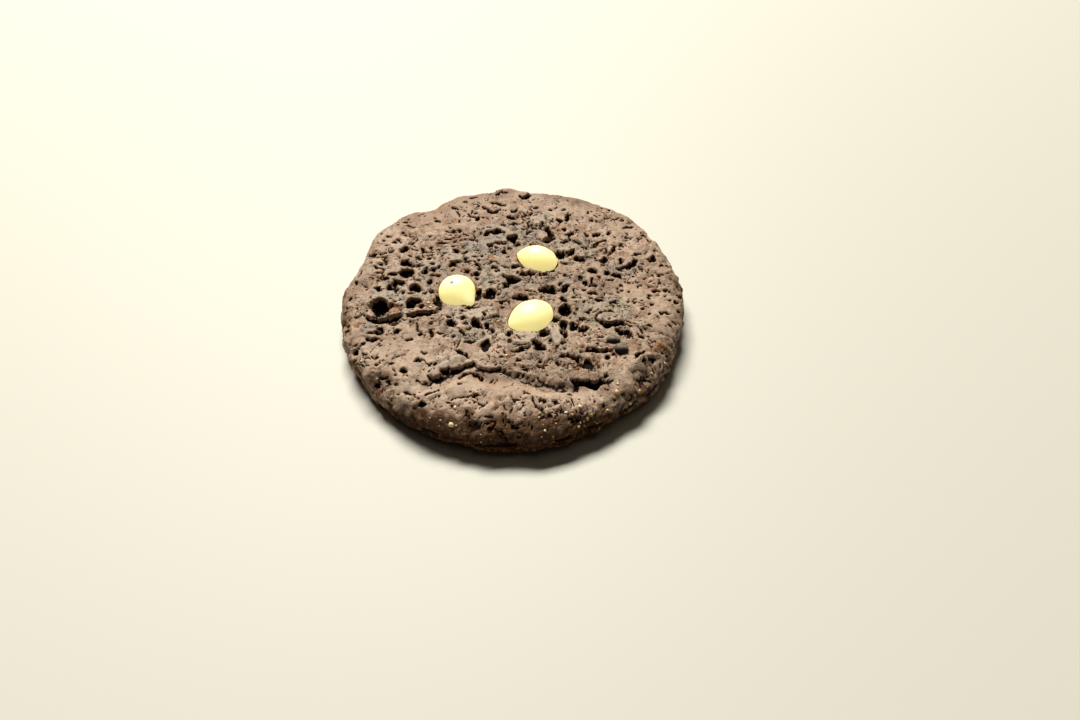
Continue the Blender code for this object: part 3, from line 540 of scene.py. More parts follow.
def oval(x, y, centre_x, centre_y, half_width, half_length, turn, power=2.0):
    """Distance from the middle of a turned oval, which is 1 on its rim; a higher power squares it."""
    angle = radians(turn)
    across = ((x - centre_x) * cos(angle) + (y - centre_y) * sin(angle)) / half_width
    along = ((y - centre_y) * cos(angle) - (x - centre_x) * sin(angle)) / half_length
    return (np.abs(across) ** power + np.abs(along) ** power) ** (1.0 / power)


def line_distance(x, y, points):
    """Shortest distance to a line through these points, and how far along the line, from 0 to 1."""
    nearest = np.full(x.shape, FAR_AWAY)
    along = np.zeros(x.shape)
    count = len(points) - 1
    for i, ((ax, ay), (bx, by)) in enumerate(zip(points, points[1:])):
        share = ((x - ax) * (bx - ax) + (y - ay) * (by - ay)) / ((bx - ax) ** 2 + (by - ay) ** 2)
        share = np.clip(share, 0.0, 1.0)
        distance = np.hypot(x - ax - share * (bx - ax), y - ay - share * (by - ay))
        along = np.where(distance < nearest, (i + share) / count, along)
        nearest = np.minimum(nearest, distance)
    return nearest, along


def zone(x, y, ovals):
    """How much each place lies in one of these zones, from 0 to their strength."""
    share = np.zeros(x.shape)
    for *shape, strength in ovals:
        share = np.maximum(share, strength * eased(1.6 - oval(x, y, *shape)))
    return share


def outline_radius(angle):
    """Radius of the widest outline in the direction of this angle."""
    radius = np.full(np.shape(angle), RADIUS)
    for direction, spread, height in LOBES:
        away = (angle - radians(direction) + pi) % (2.0 * pi) - pi
        radius = radius + height * np.exp(-0.5 * (away / radians(spread)) ** 2)
    return radius


def shoulder_width(angle):
    """Width of the rounded shoulder: narrow at the back and broad in front."""
    front = rising(np.cos(angle + radians(SHOULDER_TURN)), 0.3, 0.45)
    return SHOULDER_BACK + (SHOULDER_FRONT - SHOULDER_BACK) * front


def crease_step(x, y):
    """Step down in front of the crease, with the smooth lip rising again beyond it."""
    line_x = [point[0] for point in CREASE]
    line_y = [point[1] for point in CREASE]
    beyond = np.interp(x, line_x, line_y) - y
    fade = rising(x, line_x[0], CREASE_FADE) * falling(x, line_x[-1], CREASE_FADE)
    face = CREASE_FACE * (1.0 + 1.2 * rising(x, -2.0, 8.0) * falling(x, 18.0, 6.0))
    lip = LIP_RISE * rising(beyond, face, LIP_WIDTH)
    return fade * (lip - CREASE_STEP) * eased(beyond / face)


def drop_footprint(x, y):
    """Distance in plan from the nearest drop, which is 1 on its widest outline."""
    nearest = np.full(x.shape, FAR_AWAY)
    for _, centre, half_sizes, turn, _, _ in DROPS:
        nearest = np.minimum(nearest, oval(x, y, *centre[:2], *half_sizes[:2], turn))
    return nearest


class Ground:
    """Places on the smooth round, with what both the relief and the masks read there."""

    def __init__(self, place):
        self.place = place
        self.x = place[:, 0] + 0.5 * field(place, 2.0, 1) + 0.4 * field(place, 0.9, 2)
        self.y = place[:, 1] + 0.5 * field(place, 2.0, 3) + 0.4 * field(place, 0.9, 4)
        self.z = place[:, 2]
        bent_x = self.x + 1.1 * field(place, 4.0, 23)
        bent_y = self.y + 1.1 * field(place, 4.0, 24)
        self.bent = np.column_stack([bent_x, bent_y, self.z])
        self.direction = np.degrees(np.arctan2(self.y, self.x))
        self.top = rising(self.z, TOP_START, TOP_BLEND)
        self.wall = 1.0 - self.top
        self.calm = self.share(CALM_ZONES)
        rough = self.share(ROUGH_ZONES) + 0.35 * field(place, 5.0, 5)
        self.rough = np.clip(rough, 0.0, 1.0) * self.top
        chocolate = self.share(CHOCOLATE_ZONES) * 1.2 + 0.5 * field(place, 4.0, 6) - 0.2
        self.chocolate = np.clip(chocolate, 0.0, 1.0) * self.top
        self.layers = layered(self.bent)

    def share(self, zones):
        """How much each place lies in these zones."""
        return zone(self.x, self.y, zones)

    def sector(self, start, end, blend):
        """1 between two directions in degrees, with soft ends inside them."""
        return rising(self.direction, start, blend) * falling(self.direction, end, blend)

    def cracks(self):
        """Thin cracks under those edges of the layers that face the front, with their shade painted dark.
        """
        facing = layered(self.bent + np.array([0.0, 0.4, 0.0])) - self.layers
        level = self.layers / LAYER_STEP - np.floor(self.layers / LAYER_STEP)
        crack = rising(level, 0.5, 0.2) * falling(level, 0.95, 0.12) * eased(facing / 0.06)
        return crack * patches(self.place, 3.0, 31, 3.0, 0.2) * self.top

    def holes(self):
        """Round pores of the broken dough, with none on the front lip."""
        pores = field(self.bent, 2.4, 16) + 0.45 * field(self.bent, 1.1, 19)
        holes = eased((pores - 0.64 + 0.14 * self.rough) / 0.05)
        return holes * rising(self.rough, 0.25, 0.4) * rising(self.y, -37.0, 4.0)

    def slits(self):
        """Short slits that lie across the view."""
        stretched = np.column_stack([self.x / 2.2, self.y, self.z])
        return rising(field(stretched, 0.9, 29), 0.58, 0.06) * patches(self.place, 5.0, 30, 3.0, -0.4)

    def wrinkles(self):
        """Hair-thin wrinkles of the skin."""
        line = eased(1.0 - np.abs(field(self.bent, 4.2, 17)) / 0.03)
        return patches(self.place, 6.0, 18, 3.0, 0.1) * line

    def ledge(self):
        """Broken ledge of the front wall, with a groove above it, in millimetres."""
        above = self.z - LEDGE_HEIGHT - 0.8 * field(self.place, 9.0, 26)
        ledge = 0.5 * np.exp(-(above / 0.6) ** 2) - 0.8 * np.exp(-((above - 1.5) / 0.8) ** 2)
        return self.sector(*FRONT) * ledge * self.wall * patches(self.place, 4.5, 39, 2.2, 0.7)


def baked_height(ground, crag_height):
    """Height of the skin, the broken dough and the wall before the listed features are placed."""
    place, bent, calm = ground.place, ground.bent, ground.calm
    knobs = np.abs(field(bent, 2.3, 9))
    grit = np.abs(field(bent, 1.1, 10))
    shelves = stepped(ground.layers, LAYER_STEP, 0.2)
    chunks = stepped(field(bent, 3.4, 8) + 0.5 * field(bent, 1.5, 33), 0.28, 0.18)
    melted = rising(ground.chocolate, 0.3, 0.4)
    broken = 0.5 * chunks + 0.5 * shelves + (0.25 - 0.2 * melted) * grit + 0.12 * field(place, 0.9, 34)
    broken = broken * (0.65 - 0.35 * melted)
    flaked = 0.8 * (0.35 + patches(place, 8.0, 28, 2.0, 0.5))
    skin = (1.0 - 0.7 * calm) * (0.12 * knobs + 0.10 * grit + flaked * shelves)
    skin = 0.4 * field(bent, 4.2, 11) + skin
    height = 0.45 * field(place, 17.0, 7) + skin * (1.0 - ground.rough)
    height = height + crag_height * broken * ground.rough
    height = height + ground.wall * (0.4 * knobs + 0.25 * grit - 0.3)
    height = height + ground.share(LUMPY_ZONES) * (1.5 * knobs - 0.3) * ground.top
    return height + ground.ledge()


def placed_pits(ground):
    """Depth of the pits and slits of the tables, in millimetres."""
    depths = np.zeros(ground.x.shape)
    wobble = 0.45 * field(ground.place, 1.5, 37)
    for *outline, depth in PITS:
        reach = min(1.02 + 0.09 * depth, 1.18)
        away = oval(ground.x, ground.y, *outline) / reach + wobble
        depths = np.maximum(depths, depth * eased(PIT_REACH - PIT_STEEPNESS * away))
    for half_width, depth, points in SLITS:
        distance, along = line_distance(ground.x, ground.y, points)
        taper = 0.45 + 0.65 * np.sqrt(1.0 - (2.0 * along - 1.0) ** 2)
        away = distance / (half_width * taper) + wobble
        depths = np.maximum(depths, depth * eased(PIT_REACH - PIT_STEEPNESS * away))
    return depths * ground.top


def lay_flakes(ground, height):
    """The height with the flakes laid on it, their flat tops and the painted shadow along their front
    edges.
    """
    flat = np.zeros(ground.x.shape)
    dark = np.zeros(ground.x.shape)
    uneven = patches(ground.place, 1.6, 40, 2.0, 0.8)
    for *outline, lift in FLAKES:
        away = oval(ground.x, ground.y, *outline, 3.5)
        flake = falling(away, 1.05, 0.16) * ground.top
        height = height * (1.0 - 0.75 * flake) + (lift + 0.1) * flake
        flat = np.maximum(flat, flake)
        # Painted shadow: the front edge of each flake, which faces away from the light, is marked dark
        front = eased(0.3 + 1.2 * (outline[1] - ground.y))
        edge = falling(away, 1.30, 0.12) * rising(away, 0.98, 0.08) * front
        dark = np.maximum(dark, min(1.6 * lift, 0.8) * edge * uneven * ground.top)
    return height, flat, dark


def shape_by_hand(ground, height):
    """The height with the lumps, dents, rims and the crease of the tables."""
    x, y, top = ground.x, ground.y, ground.top
    for *outline, lift in LUMPS:
        dome = np.clip(1.0 - (oval(x, y, *outline) / 1.15) ** 2, 0.0, 1.0) ** 0.7 * top
        height = height * (1.0 - 0.7 * min(lift, 1.0) * dome) + lift * dome
    for *outline, depth in DENTS:
        height = height - depth * eased(1.5 - oval(x, y, *outline)) * top
    for half_width, lift, points in RIMS:
        height = height + lift * eased(1.9 - 1.4 * line_distance(x, y, points)[0] / half_width) * top
    valley = eased(1.5 - line_distance(x, y + 1.6, CREASE)[0] / 2.4) * top
    height = height * (1.0 - 0.6 * valley)
    return height + crease_step(x, y + field(ground.place, 3.6, 27)) * top


def sink_under_drops(ground, height):
    """The height kept low beside the drops and hollow under them."""
    beside = drop_footprint(ground.place[:, 0], ground.place[:, 1])
    under = falling(beside, 1.12, 0.13) * ground.top
    ceiling = 0.2 + 6.0 * np.maximum(beside - 1.1, 0.0) + 10.0 * (1.0 - ground.top)
    return np.minimum(height, ceiling) * (1.0 - under) - SOCKET_DEPTH * under


def side_share(ground):
    """How much each place belongs to the dark side wall, baked darker and partly painted shade, darker
    toward the bottom.
    """
    directions, starts = zip(*WALL_START)
    inset = np.hypot(ground.x, ground.y) - np.interp(ground.direction, directions, starts)
    below = 6.6 - 3.6 * ground.sector(*LEFT) - ground.z + 2.4 * field(ground.place, 2.6, 38)
    return np.maximum(eased((inset + 3.4 * field(ground.place, 2.8, 32) + 0.2) / 2.4), eased(below / 3.2))


def dough_relief(place, shape):
    """Height of the dough's relief at each place, with the masks that its finish reads."""
    ground = Ground(place)
    top = ground.top
    holes, slits, wrinkles, cracks = ground.holes(), ground.slits(), ground.wrinkles(), ground.cracks()
    pores = (0.8 + 1.2 * ground.rough) * holes
    fine = np.maximum.reduce([pores, 0.6 * slits, 0.4 * wrinkles, 0.5 * cracks])
    placed = placed_pits(ground)
    pit = np.maximum(fine * (1.0 - 0.5 * ground.calm) * top, placed * shape.pit_depth)
    height, flat, flake_edge_shade = lay_flakes(ground, baked_height(ground, shape.crag_height))
    height = (shape_by_hand(ground, height) - pit) * eased(ground.z / FOOT_BLEND)
    height = sink_under_drops(ground, height)

    # Painted shade: the placed pits and the flakes' shaded front edges are to be painted black
    dark = rising(np.maximum(placed, flake_edge_shade), 0.2, 0.6)
    side = side_share(ground)
    warm_side = side * np.maximum(0.55 * ground.sector(*LEFT), 0.40 * ground.sector(*FRONT))
    mottled = 1.0 - 0.75 * ground.sector(*RIGHT) * patches(place, 1.4, 36, 3.0, 0.5)
    masks = {
        "chocolate": ground.chocolate,
        # The pit mask also paints shade black in pores, slits, wrinkles and front-facing cracks
        "pit": np.maximum.reduce([dark, 0.85 * cracks, 0.9 * holes, 0.8 * slits, 0.4 * wrinkles]),
        "warm": np.maximum(ground.share(WARM_ZONES) * top, warm_side),
        "rough": ground.rough * (1.0 - 0.8 * flat),
        "shade": np.minimum(ground.share(SHADE_ZONES), 1.5) * top,
        "pale": ground.share(PALE_ZONES) * top,
        "calm": ground.calm * top,
        "side": side * mottled * (1.0 - 0.4 * ground.sector(*BEHIND)),
    }
    return height, masks


def smoothed(values, edges, rounds):
    """Values averaged with their neighbours along the mesh's edges."""
    count = len(values)
    first, second = edges[:, 0], edges[:, 1]
    neighbours = np.bincount(first, minlength=count) + np.bincount(second, minlength=count)
    for _ in range(rounds):
        total = np.bincount(first, values[second], count) + np.bincount(second, values[first], count)
        values = 0.5 * values + 0.5 * total / neighbours
    return values


def read_rows(items, name, width, kind):
    """One property of all of a mesh's items, as rows of this many numbers."""
    numbers = np.empty(len(items) * width, kind)
    items.foreach_get(name, numbers)
    return numbers.reshape(-1, width)


def add_mask(mesh, name, values):
    """Stores one number for each vertex under this name."""
    attribute = mesh.attributes.new(name, "FLOAT", "POINT")
    attribute.data.foreach_set("value", values.astype(np.float32))


def clear_selection():
    """Deselects everything before a new piece is modelled."""
    if bpy.context.mode != "OBJECT":
        bpy.ops.object.mode_set(mode="OBJECT")
    bpy.ops.object.select_all(action="DESELECT")


def joined(name, parts):
    """Joins parts into one piece of this name."""
    clear_selection()
    for part in parts:
        part.select_set(True)
    bpy.context.view_layer.objects.active = parts[0]
    bpy.ops.object.join()
    piece = bpy.context.object
    piece.name = name
    return piece


def bring_into_frame(piece):
    """Turns a piece's millimetres from the middle of the round into the frame's metres."""
    piece.data.transform(Matrix.Scale(MM, 4) @ Matrix.Translation(PLAN_SHIFT))
    piece.data.update()


def settle(piece, material, slot, *nodes):
    """Smooths a finished piece, gives it its material and hands it to the frame."""
    piece.data.shade_smooth()
    piece.data.materials.append(material)
    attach(piece, "root")
    if nodes:
        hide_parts(*nodes)


def disc_places(a, b):
    """Places on a unit disc of points on a square that reaches from -1 to 1."""
    wide = np.abs(a) > np.abs(b)
    reach = np.where(wide, a, b)
    divisor = np.where(np.abs(reach) < 1e-9, 1.0, reach)
    turn = pi / 4.0 * np.where(wide, b, a) / divisor
    x = reach * np.where(wide, np.cos(turn), np.sin(turn))
    y = reach * np.where(wide, np.sin(turn), np.cos(turn))
    return x, y


def edge_profile():
    """Rings of the edge from the top down: inset by the shoulder, inset by the foot, and height."""
    rings = []
    for i in range(1, UPPER_RINGS + 1):
        angle = pi / 2.0 * (1.0 - i / UPPER_RINGS)
        rings.append((1.0 - cos(angle), 0.0, WIDEST_HEIGHT + (THICKNESS - WIDEST_HEIGHT) * sin(angle)))
    for i in range(1, LOWER_RINGS + 1):
        angle = pi / 2.0 * i / LOWER_RINGS
        rings.append((0.0, 1.0 - cos(angle), WIDEST_HEIGHT * (1.0 - sin(angle))))
    return rings


def model_round():
    """The smooth round of dough: an even grid on top, rings down the edge and a flat underside."""
    clear_selection()
    bpy.ops.mesh.primitive_grid_add(x_subdivisions=TOP_SQUARES, y_subdivisions=TOP_SQUARES, size=2.0)
    piece = bpy.context.object
    piece.name = "dough"
    bpy.ops.object.mode_set(mode="EDIT")
    bpy.ops.mesh.select_mode(type="EDGE")
    bpy.ops.mesh.select_all(action="DESELECT")
    bm = bmesh.from_edit_mesh(piece.data)
    square = np.array([vertex.co.xy for vertex in bm.verts])
    x, y = disc_places(square[:, 0], square[:, 1])
    angle = np.arctan2(y, x)
    reach = outline_radius(angle) - shoulder_width(angle)
    for vertex, place in zip(bm.verts, np.column_stack([x * reach, y * reach]).tolist()):
        vertex.co = (*place, THICKNESS)
    for edge in bm.edges:
        if edge.is_boundary:
            edge.select_set(True)
    for inset, foot, height in edge_profile():
        bmesh.update_edit_mesh(piece.data)
        bpy.ops.mesh.extrude_region()
        bm = bmesh.from_edit_mesh(piece.data)
        ring = [vertex for vertex in bm.verts if vertex.select]
        angle = np.array([atan2(vertex.co.y, vertex.co.x) for vertex in ring])
        radius = outline_radius(angle) - inset * shoulder_width(angle) - foot * FOOT_INSET
        places = np.column_stack([radius * np.cos(angle), radius * np.sin(angle)])
        for vertex, place in zip(ring, places.tolist()):
            vertex.co = (*place, height)
    bmesh.update_edit_mesh(piece.data)
    bpy.ops.mesh.edge_face_add()
    bpy.ops.mesh.select_all(action="SELECT")
    bpy.ops.mesh.normals_make_consistent(inside=False)
    bpy.ops.object.mode_set(mode="OBJECT")
    return piece


class Reading:
    """A socket whose arithmetic adds Math nodes to its material."""

    def __init__(self, finish, socket):
        self.finish = finish
        self.socket = socket

    def combined(self, operation, *values):
        """A Math node of these values."""
        return self.finish.node("ShaderNodeMath", {"operation": operation}, dict(enumerate(values)))

    def __add__(self, other):
        return self.combined("ADD", self, other)

    def __radd__(self, other):
        return self.combined("ADD", other, self)

    def __sub__(self, other):
        return self.combined("SUBTRACT", self, other)

    def __rsub__(self, other):
        return self.combined("SUBTRACT", other, self)

    def __mul__(self, other):
        return self.combined("MULTIPLY", self, other)

    def __rmul__(self, other):
        return self.combined("MULTIPLY", other, self)

    def __abs__(self):
        return self.combined("ABSOLUTE", self)

    def or_more(self, other):
        """The larger of two values."""
        return self.combined("MAXIMUM", self, other)

    def rising(self, low, high):
        """Smooth step from 0 at low to 1 at high."""
        settings = {"interpolation_type": "SMOOTHSTEP"}
        sockets = {"Value": self, "From Min": low, "From Max": high}
        return self.finish.node("ShaderNodeMapRange", settings, sockets)


class Finish:
    """A material whose nodes are added one call at a time."""

    def __init__(self, name):
        self.material = bpy.data.materials.new(name)
        self.material.use_nodes = True
        self.tree = self.material.node_tree
        self.shader = self.tree.nodes["Principled BSDF"]

    def set(self, **sockets):
        """Values or links of the shader's sockets, with spaces written as underscores."""
        for name, value in sockets.items():
            self.plug(self.shader.inputs[name.replace("_", " ")], value)

    def plug(self, socket, value):
        """Links a reading to a socket, or sets the socket's own value."""
        if isinstance(value, Reading):
            self.tree.links.new(value.socket, socket)
        elif hasattr(value, "__len__") and len(value) == 3 and len(socket.default_value) == 4:
            socket.default_value = (*value, 1.0)
        else:
            socket.default_value = value

    def node(self, kind, settings=None, sockets=None, output=0):
        """Adds a node with its settings first and then its sockets, and returns one output."""
        node = self.tree.nodes.new(kind)
        for name, value in (settings or {}).items():
            setattr(node, name, value)
        for name, value in (sockets or {}).items():
            self.plug(node.inputs[name], value)
        return Reading(self, node.outputs[output])

    def place(self):
        """Object coordinates, which are the frame's metres."""
        return self.node("ShaderNodeTexCoord", output=3)

    def mask(self, name):
        """A number stored on the mesh."""
        return self.node("ShaderNodeAttribute", {"attribute_name": name}, {}, 2)

    def mix(self, amount, first, second):
        """Blends two colours."""
        return self.node("ShaderNodeMix", {"data_type": "RGBA"}, {0: amount, 6: first, 7: second}, 2)

    def noise(self, place, size, detail=3.0, roughness=0.55, shift=0.0):
        """Noise with lumps of this size in millimetres."""
        moved = self.node("ShaderNodeMapping", {}, {"Vector": place, "Location": (shift, shift, shift)})
        sockets = {"Vector": moved, "Scale": 1.0 / (size * MM), "Detail": detail, "Roughness": roughness}
        return self.node("ShaderNodeTexNoise", {}, sockets)

    def cell_distance(self, place, size):
        """Distance to the nearest scattered point, in cells of this size in millimetres."""
        return self.node("ShaderNodeTexVoronoi", {}, {"Vector": place, "Scale": 1.0 / (size * MM)})

    def bump(self, height, distance):
        """A normal from a height that counts in this many millimetres."""
        return self.node("ShaderNodeBump", {}, {"Height": height, "Distance": distance * MM})


def dough_finish(colours):
    """Baked dough: pale skin, grey melted chocolate, pits painted black as shade, and a dark side wall
    that is partly painted shade.
    """
    finish = Finish("baked_dough")
    place, mix, noise_of = finish.place(), finish.mix, finish.noise
    height = finish.node("ShaderNodeSeparateXYZ", {}, {"Vector": place}, 2)
    sunk, groove, pit = finish.mask("sunk"), finish.mask("groove"), finish.mask("pit")
    chocolate, warm, rough = finish.mask("chocolate"), finish.mask("warm"), finish.mask("rough")
    shade, pale, side = finish.mask("shade"), finish.mask("pale"), finish.mask("side")
    even = 1.0 - 0.6 * finish.mask("calm")

    # Noises, from broad to fine
    broad = noise_of(place, 9.0, 2.0, shift=0.3)
    patch = noise_of(place, 2.6, 4.0, 0.6, shift=0.7)
    tint = noise_of(place, 1.9, 4.0, 0.65, shift=4.3)
    fine = noise_of(place, 0.8, 3.0, 0.6, shift=1.1)
    tiny = noise_of(place, 0.45, 2.0, 0.6, shift=3.1)
    orange_spot = noise_of(place, 0.9, 2.0, 0.5, shift=5.1)
    pale_spot = noise_of(place, 0.9, 2.0, 0.5, shift=6.7)

    # Skin of the dough
    skin = mix((patch * 0.6 + broad * 0.4).rising(0.42, 0.56), colours.skin_dark, colours.skin_pale)
    skin = mix(1.0 - even, skin, colours.skin_dark)
    skin = mix(fine.rising(0.52, 0.72) * even * 0.45, skin, colours.brown_and_hollow_shade)
    skin = mix(pale * 0.7, skin, colours.skin_pale)
    skin = mix(tint.rising(0.50, 0.58) * 0.3, skin, colours.chocolate_olive)

    # Chocolate that has melted into it, with an orange border
    melted = mix(tint.rising(0.46, 0.54), colours.chocolate_olive, colours.chocolate_pale)
    melted = mix((patch + pale * 0.1).rising(0.40, 0.54), colours.chocolate_dark, melted)
    greyness = (chocolate + (fine - 0.5) * 0.7 + (tint - 0.5) * 0.6).rising(0.36, 0.48) * 0.9
    border = greyness.rising(0.1, 0.4) * (1.0 - greyness.rising(0.5, 0.8)) * tint.rising(0.44, 0.52)
    colour = mix(border * 0.45, mix(greyness, skin, melted), colours.crumb_orange)

    # Painted highlight on the lump tops, then darker stretches, with the crease's painted shadow
    colour = mix((0.0 - sunk - groove * 2.0).rising(0.05, 0.8) * 0.6, colour, colours.skin_pale)
    # Darker stretches, and along the crease the painted shadow of its front face
    deep = 0.6 + (shade - 1.0).rising(0.0, 0.5) * 0.35
    colour = mix(shade * (patch + 0.5).rising(0.6, 1.2) * deep, colour, colours.shade_brown)

    # Specks, painted highlight specks and spots, fewer on calm skin and on chocolate
    clear = even * (1.0 - 0.55 * greyness)
    speckled = (0.12 + 0.88 * rough) * clear
    colour = mix(tiny.rising(0.5, 0.7) * clear * 0.45, colour, colours.brown_and_hollow_shade)
    # Painted highlight: tiny pale specks and spots that stand in for glints
    colour = mix((1.0 - tiny.rising(0.3, 0.5)) * (0.10 + 0.06 * rough), colour, colours.highlight)
    colour = mix(speckled * orange_spot.rising(0.60, 0.64) * 0.7, colour, colours.crumb_orange)
    colour = mix(speckled * pale_spot.rising(0.65, 0.68) * 0.6, colour, colours.highlight)

    # Side wall, baked dark and partly painted shade; painted shade in the hollows; warm crumb
    colour = mix(side * (1.0 - 0.2 * height.rising(0.0045, 0.0070)), colour, colours.wall_brown)
    wall_speck = pale_spot.rising(0.50, 0.66) * 0.4 + tiny.rising(0.52, 0.64) * 0.3
    colour = mix(side * wall_speck, colour, colours.wall_speck)
    # Painted shade: hollows and narrow grooves darkened to warm brown
    hollow = (sunk * 0.5 + groove * 2.5 + fine * 0.4).rising(0.3, 0.7)
    colour = mix(hollow * 0.7, colour, colours.brown_and_hollow_shade)
    colour = mix((warm + (fine - 0.5) * 1.2).rising(0.35, 0.75) * 0.7, colour, colours.crumb_orange)
    brim = pit.rising(0.04, 0.25) * (1.0 - pit.rising(0.4, 0.6)) * patch.rising(0.42, 0.52)
    colour = mix(brim * 0.75, colour, colours.crumb_orange)

    # Painted shade: black in pits, grooves, cracks and pinholes; also dark crumbled spots and hair cracks
    crumbled = noise_of(place, 2.3, 5.0, 0.75, shift=9.1).rising(0.575, 0.600)
    hair = 1.0 - abs(noise_of(place, 2.0, 3.0, 0.65, shift=10.3) - 0.5).rising(0.010, 0.024)
    hair = hair * noise_of(place, 2.4, 2.0, shift=11.9).rising(0.5, 0.56)
    speck = (speckled * crumbled).or_more(hair * even * (0.15 + rough))
    darkness = pit + sunk * 0.5 + groove * 2.6 + (fine + tiny) * 0.35 + speck * 0.8
    darkness = darkness.rising(0.72, 0.9)
    colour = mix(darkness, colour, colours.pit_black)
    # Painted shade: tiny pinholes painted black
    pinhole = 1.0 - finish.cell_distance(place, 1.7).rising(0.10, 0.17)
    pinhole = pinhole * noise_of(place, 4.0, 1.0, shift=2.3).rising(0.5, 0.56)
    finish.set(Base_Color=mix(pinhole * 0.9, colour, colours.pit_black))

    grain = noise_of(place, 0.35, 3.0, 0.6, shift=1.9)
    coarse = even * (0.45 + 0.55 * rough - 0.45 * greyness + 0.5 * side)
    grit = (grain * 0.6 + tiny * 0.8 + fine * 0.7) * coarse
    finish.set(Normal=finish.bump(grit - pinhole * 1.2 - speck * 0.8, 0.3))
    finish.set(Roughness=0.55 + 0.2 * fine + 0.2 * darkness.or_more(side * 0.5))
    finish.set(Coat_Weight=(1.0 - darkness) * (1.0 - side) * (0.12 + 0.12 * greyness))
    finish.set(Coat_Roughness=0.42, Specular_IOR_Level=0.1)
    return finish.material


def drop_finish(colours):
    """White chocolate: cream yellow and satin, with light that scatters inside, a painted glow and one
    brown speck.
    """
    finish = Finish("white_chocolate")
    place = finish.place()
    cloud = finish.noise(place, 5.0, 2.0)
    cream = finish.mix(cloud.rising(0.4, 0.65), colours.drop_cream, colours.drop_pale)
    speck = tuple((Vector(DROP_SPECK) + PLAN_SHIFT) * MM)
    away = finish.node("ShaderNodeVectorMath", {"operation": "DISTANCE"}, {0: place, 1: speck}, 1)
    beyond = (away + (finish.noise(place, 0.5, 1.0) - 0.5) * 0.0004).rising(0.0004, 0.0006)
    finish.set(Base_Color=finish.mix(beyond, colours.brown_and_hollow_shade, cream))
    finish.set(Roughness=0.36 + 0.12 * finish.noise(place, 1.2, 2.0))
    finish.set(Normal=finish.bump(finish.noise(place, 1.6, 2.0), 0.05))
    # Painted glow: emission that brightens the drops' shaded undersides, with none at the speck
    glow = finish.mix(beyond, colours.pit_black, colours.drop_glow)
    finish.set(Emission_Color=glow, Emission_Strength=0.62)
    finish.set(Subsurface_Weight=1.0, Subsurface_Radius=(1.0, 0.9, 0.5), Subsurface_Scale=0.014)
    return finish.material


def grain_finish(name, pale, deep):
    """Small grains whose colour changes from one to the next."""
    finish = Finish(name)
    tone = finish.noise(finish.place(), 2.0, 1.0).rising(0.4, 0.6)
    finish.set(Base_Color=finish.mix(tone, deep, pale), Roughness=0.5)
    return finish.material


def bead_finish(colours):
    """Smooth melted chocolate with a soft shine, and painted shade: black on the side that faces the
    front.
    """
    finish = Finish("bead_chocolate")
    place = finish.place()
    patch = finish.noise(place, 1.2, 3.0)
    colour = finish.mix(patch.rising(0.4, 0.6), colours.bead_brown, colours.chocolate_dark)
    # Painted shade: black on the bead's front side
    finish.set(Base_Color=finish.mix(finish.mask("front"), colour, colours.pit_black))
    finish.set(Roughness=0.40 + 0.1 * patch, Specular_IOR_Level=0.25)
    finish.set(Normal=finish.bump(finish.noise(place, 0.7, 2.0), 0.1))
    return finish.material


class CookieShape(bpy.types.PropertyGroup):
    """Sizes of the cookie's relief."""

    crag_height: bpy.props.FloatProperty(
        name="Crag height", description="Height of the broken lumps, in millimetres", default=1.0, min=0.0)
    pit_depth: bpy.props.FloatProperty(
        name="Pit depth", description="Share of their depth that the placed pits get",
        subtype="FACTOR", default=1.0, min=0.0)
    grain_count: bpy.props.IntProperty(
        name="Golden grains", description="Number of golden grains on the wall", default=110, min=0)
    crumb_count: bpy.props.IntProperty(
        name="Loose crumbs", description="Number of crumbs that lie on top", default=1200, min=0)


def colour_property(name, description, default):
    """A colour that the user can change."""
    return bpy.props.FloatVectorProperty(
        name=name, description=description, subtype="COLOR", size=3, min=0.0, max=1.0, default=default)


class CookieColours(bpy.types.PropertyGroup):
    """Colours of the cookie's surfaces."""

    skin_pale: colour_property("Pale skin", "Skin where it catches the light", (0.47, 0.345, 0.25))
    skin_dark: colour_property("Dark skin", "Skin in its darker patches", (0.275, 0.165, 0.105))
    # Painted highlight: pale specks that stand in for small glints
    highlight: colour_property("Highlight", "Smallest pale specks of the skin", (0.66, 0.53, 0.40))
    shade_brown: colour_property("Shaded brown", "Darker parts of the top", (0.095, 0.052, 0.028))
    # Brown of small specks, and also the painted shade in the hollows
    brown_and_hollow_shade: colour_property("Warm brown", "Crumb in shallow hollows", (0.09, 0.04, 0.018))
    crumb_orange: colour_property("Orange crumb", "Bare crumb in small spots", (0.27, 0.105, 0.028))
    chocolate_pale: colour_property("Pale chocolate", "Lighter melted chocolate", (0.27, 0.215, 0.16))
    chocolate_olive: colour_property("Olive chocolate", "Yellower melted chocolate", (0.25, 0.21, 0.135))
    chocolate_dark: colour_property("Dark chocolate", "Darker melted chocolate", (0.10, 0.07, 0.042))
    bead_brown: colour_property("Bead brown", "Smooth beads of chocolate", (0.20, 0.155, 0.11))
    # Painted shade: near black that stands in for the shade inside pits, cracks and pinholes
    pit_black: colour_property("Pit", "Inside of the pits", (0.013, 0.0065, 0.004))
    # Baked dark brown, darkened further as painted shade where the wall faces away from the light
    wall_brown: colour_property("Side wall", "Dough of the side wall", (0.028, 0.008, 0.002))
    wall_speck: colour_property("Wall speck", "Tan specks of the side wall", (0.30, 0.155, 0.07))
    drop_cream: colour_property("Cream", "White chocolate", (0.66, 0.58, 0.28))
    drop_pale: colour_property("Pale cream", "White chocolate where it is lighter", (0.68, 0.61, 0.34))
    # Painted glow: colour of the emission that the drops give off
    drop_glow: colour_property("Glow", "Light that the drops scatter back", (1.0, 0.89, 0.38))
    grain_gold: colour_property("Gold", "Golden grains", (0.55, 0.33, 0.10))
    grain_cream: colour_property("Light gold", "Pale grains", (0.85, 0.70, 0.42))
    floor: colour_property("Floor", "Plain floor", (0.585, 0.575, 0.495))
    backdrop: colour_property("Backdrop", "What the camera sees behind the floor", (0.72, 0.70, 0.62))


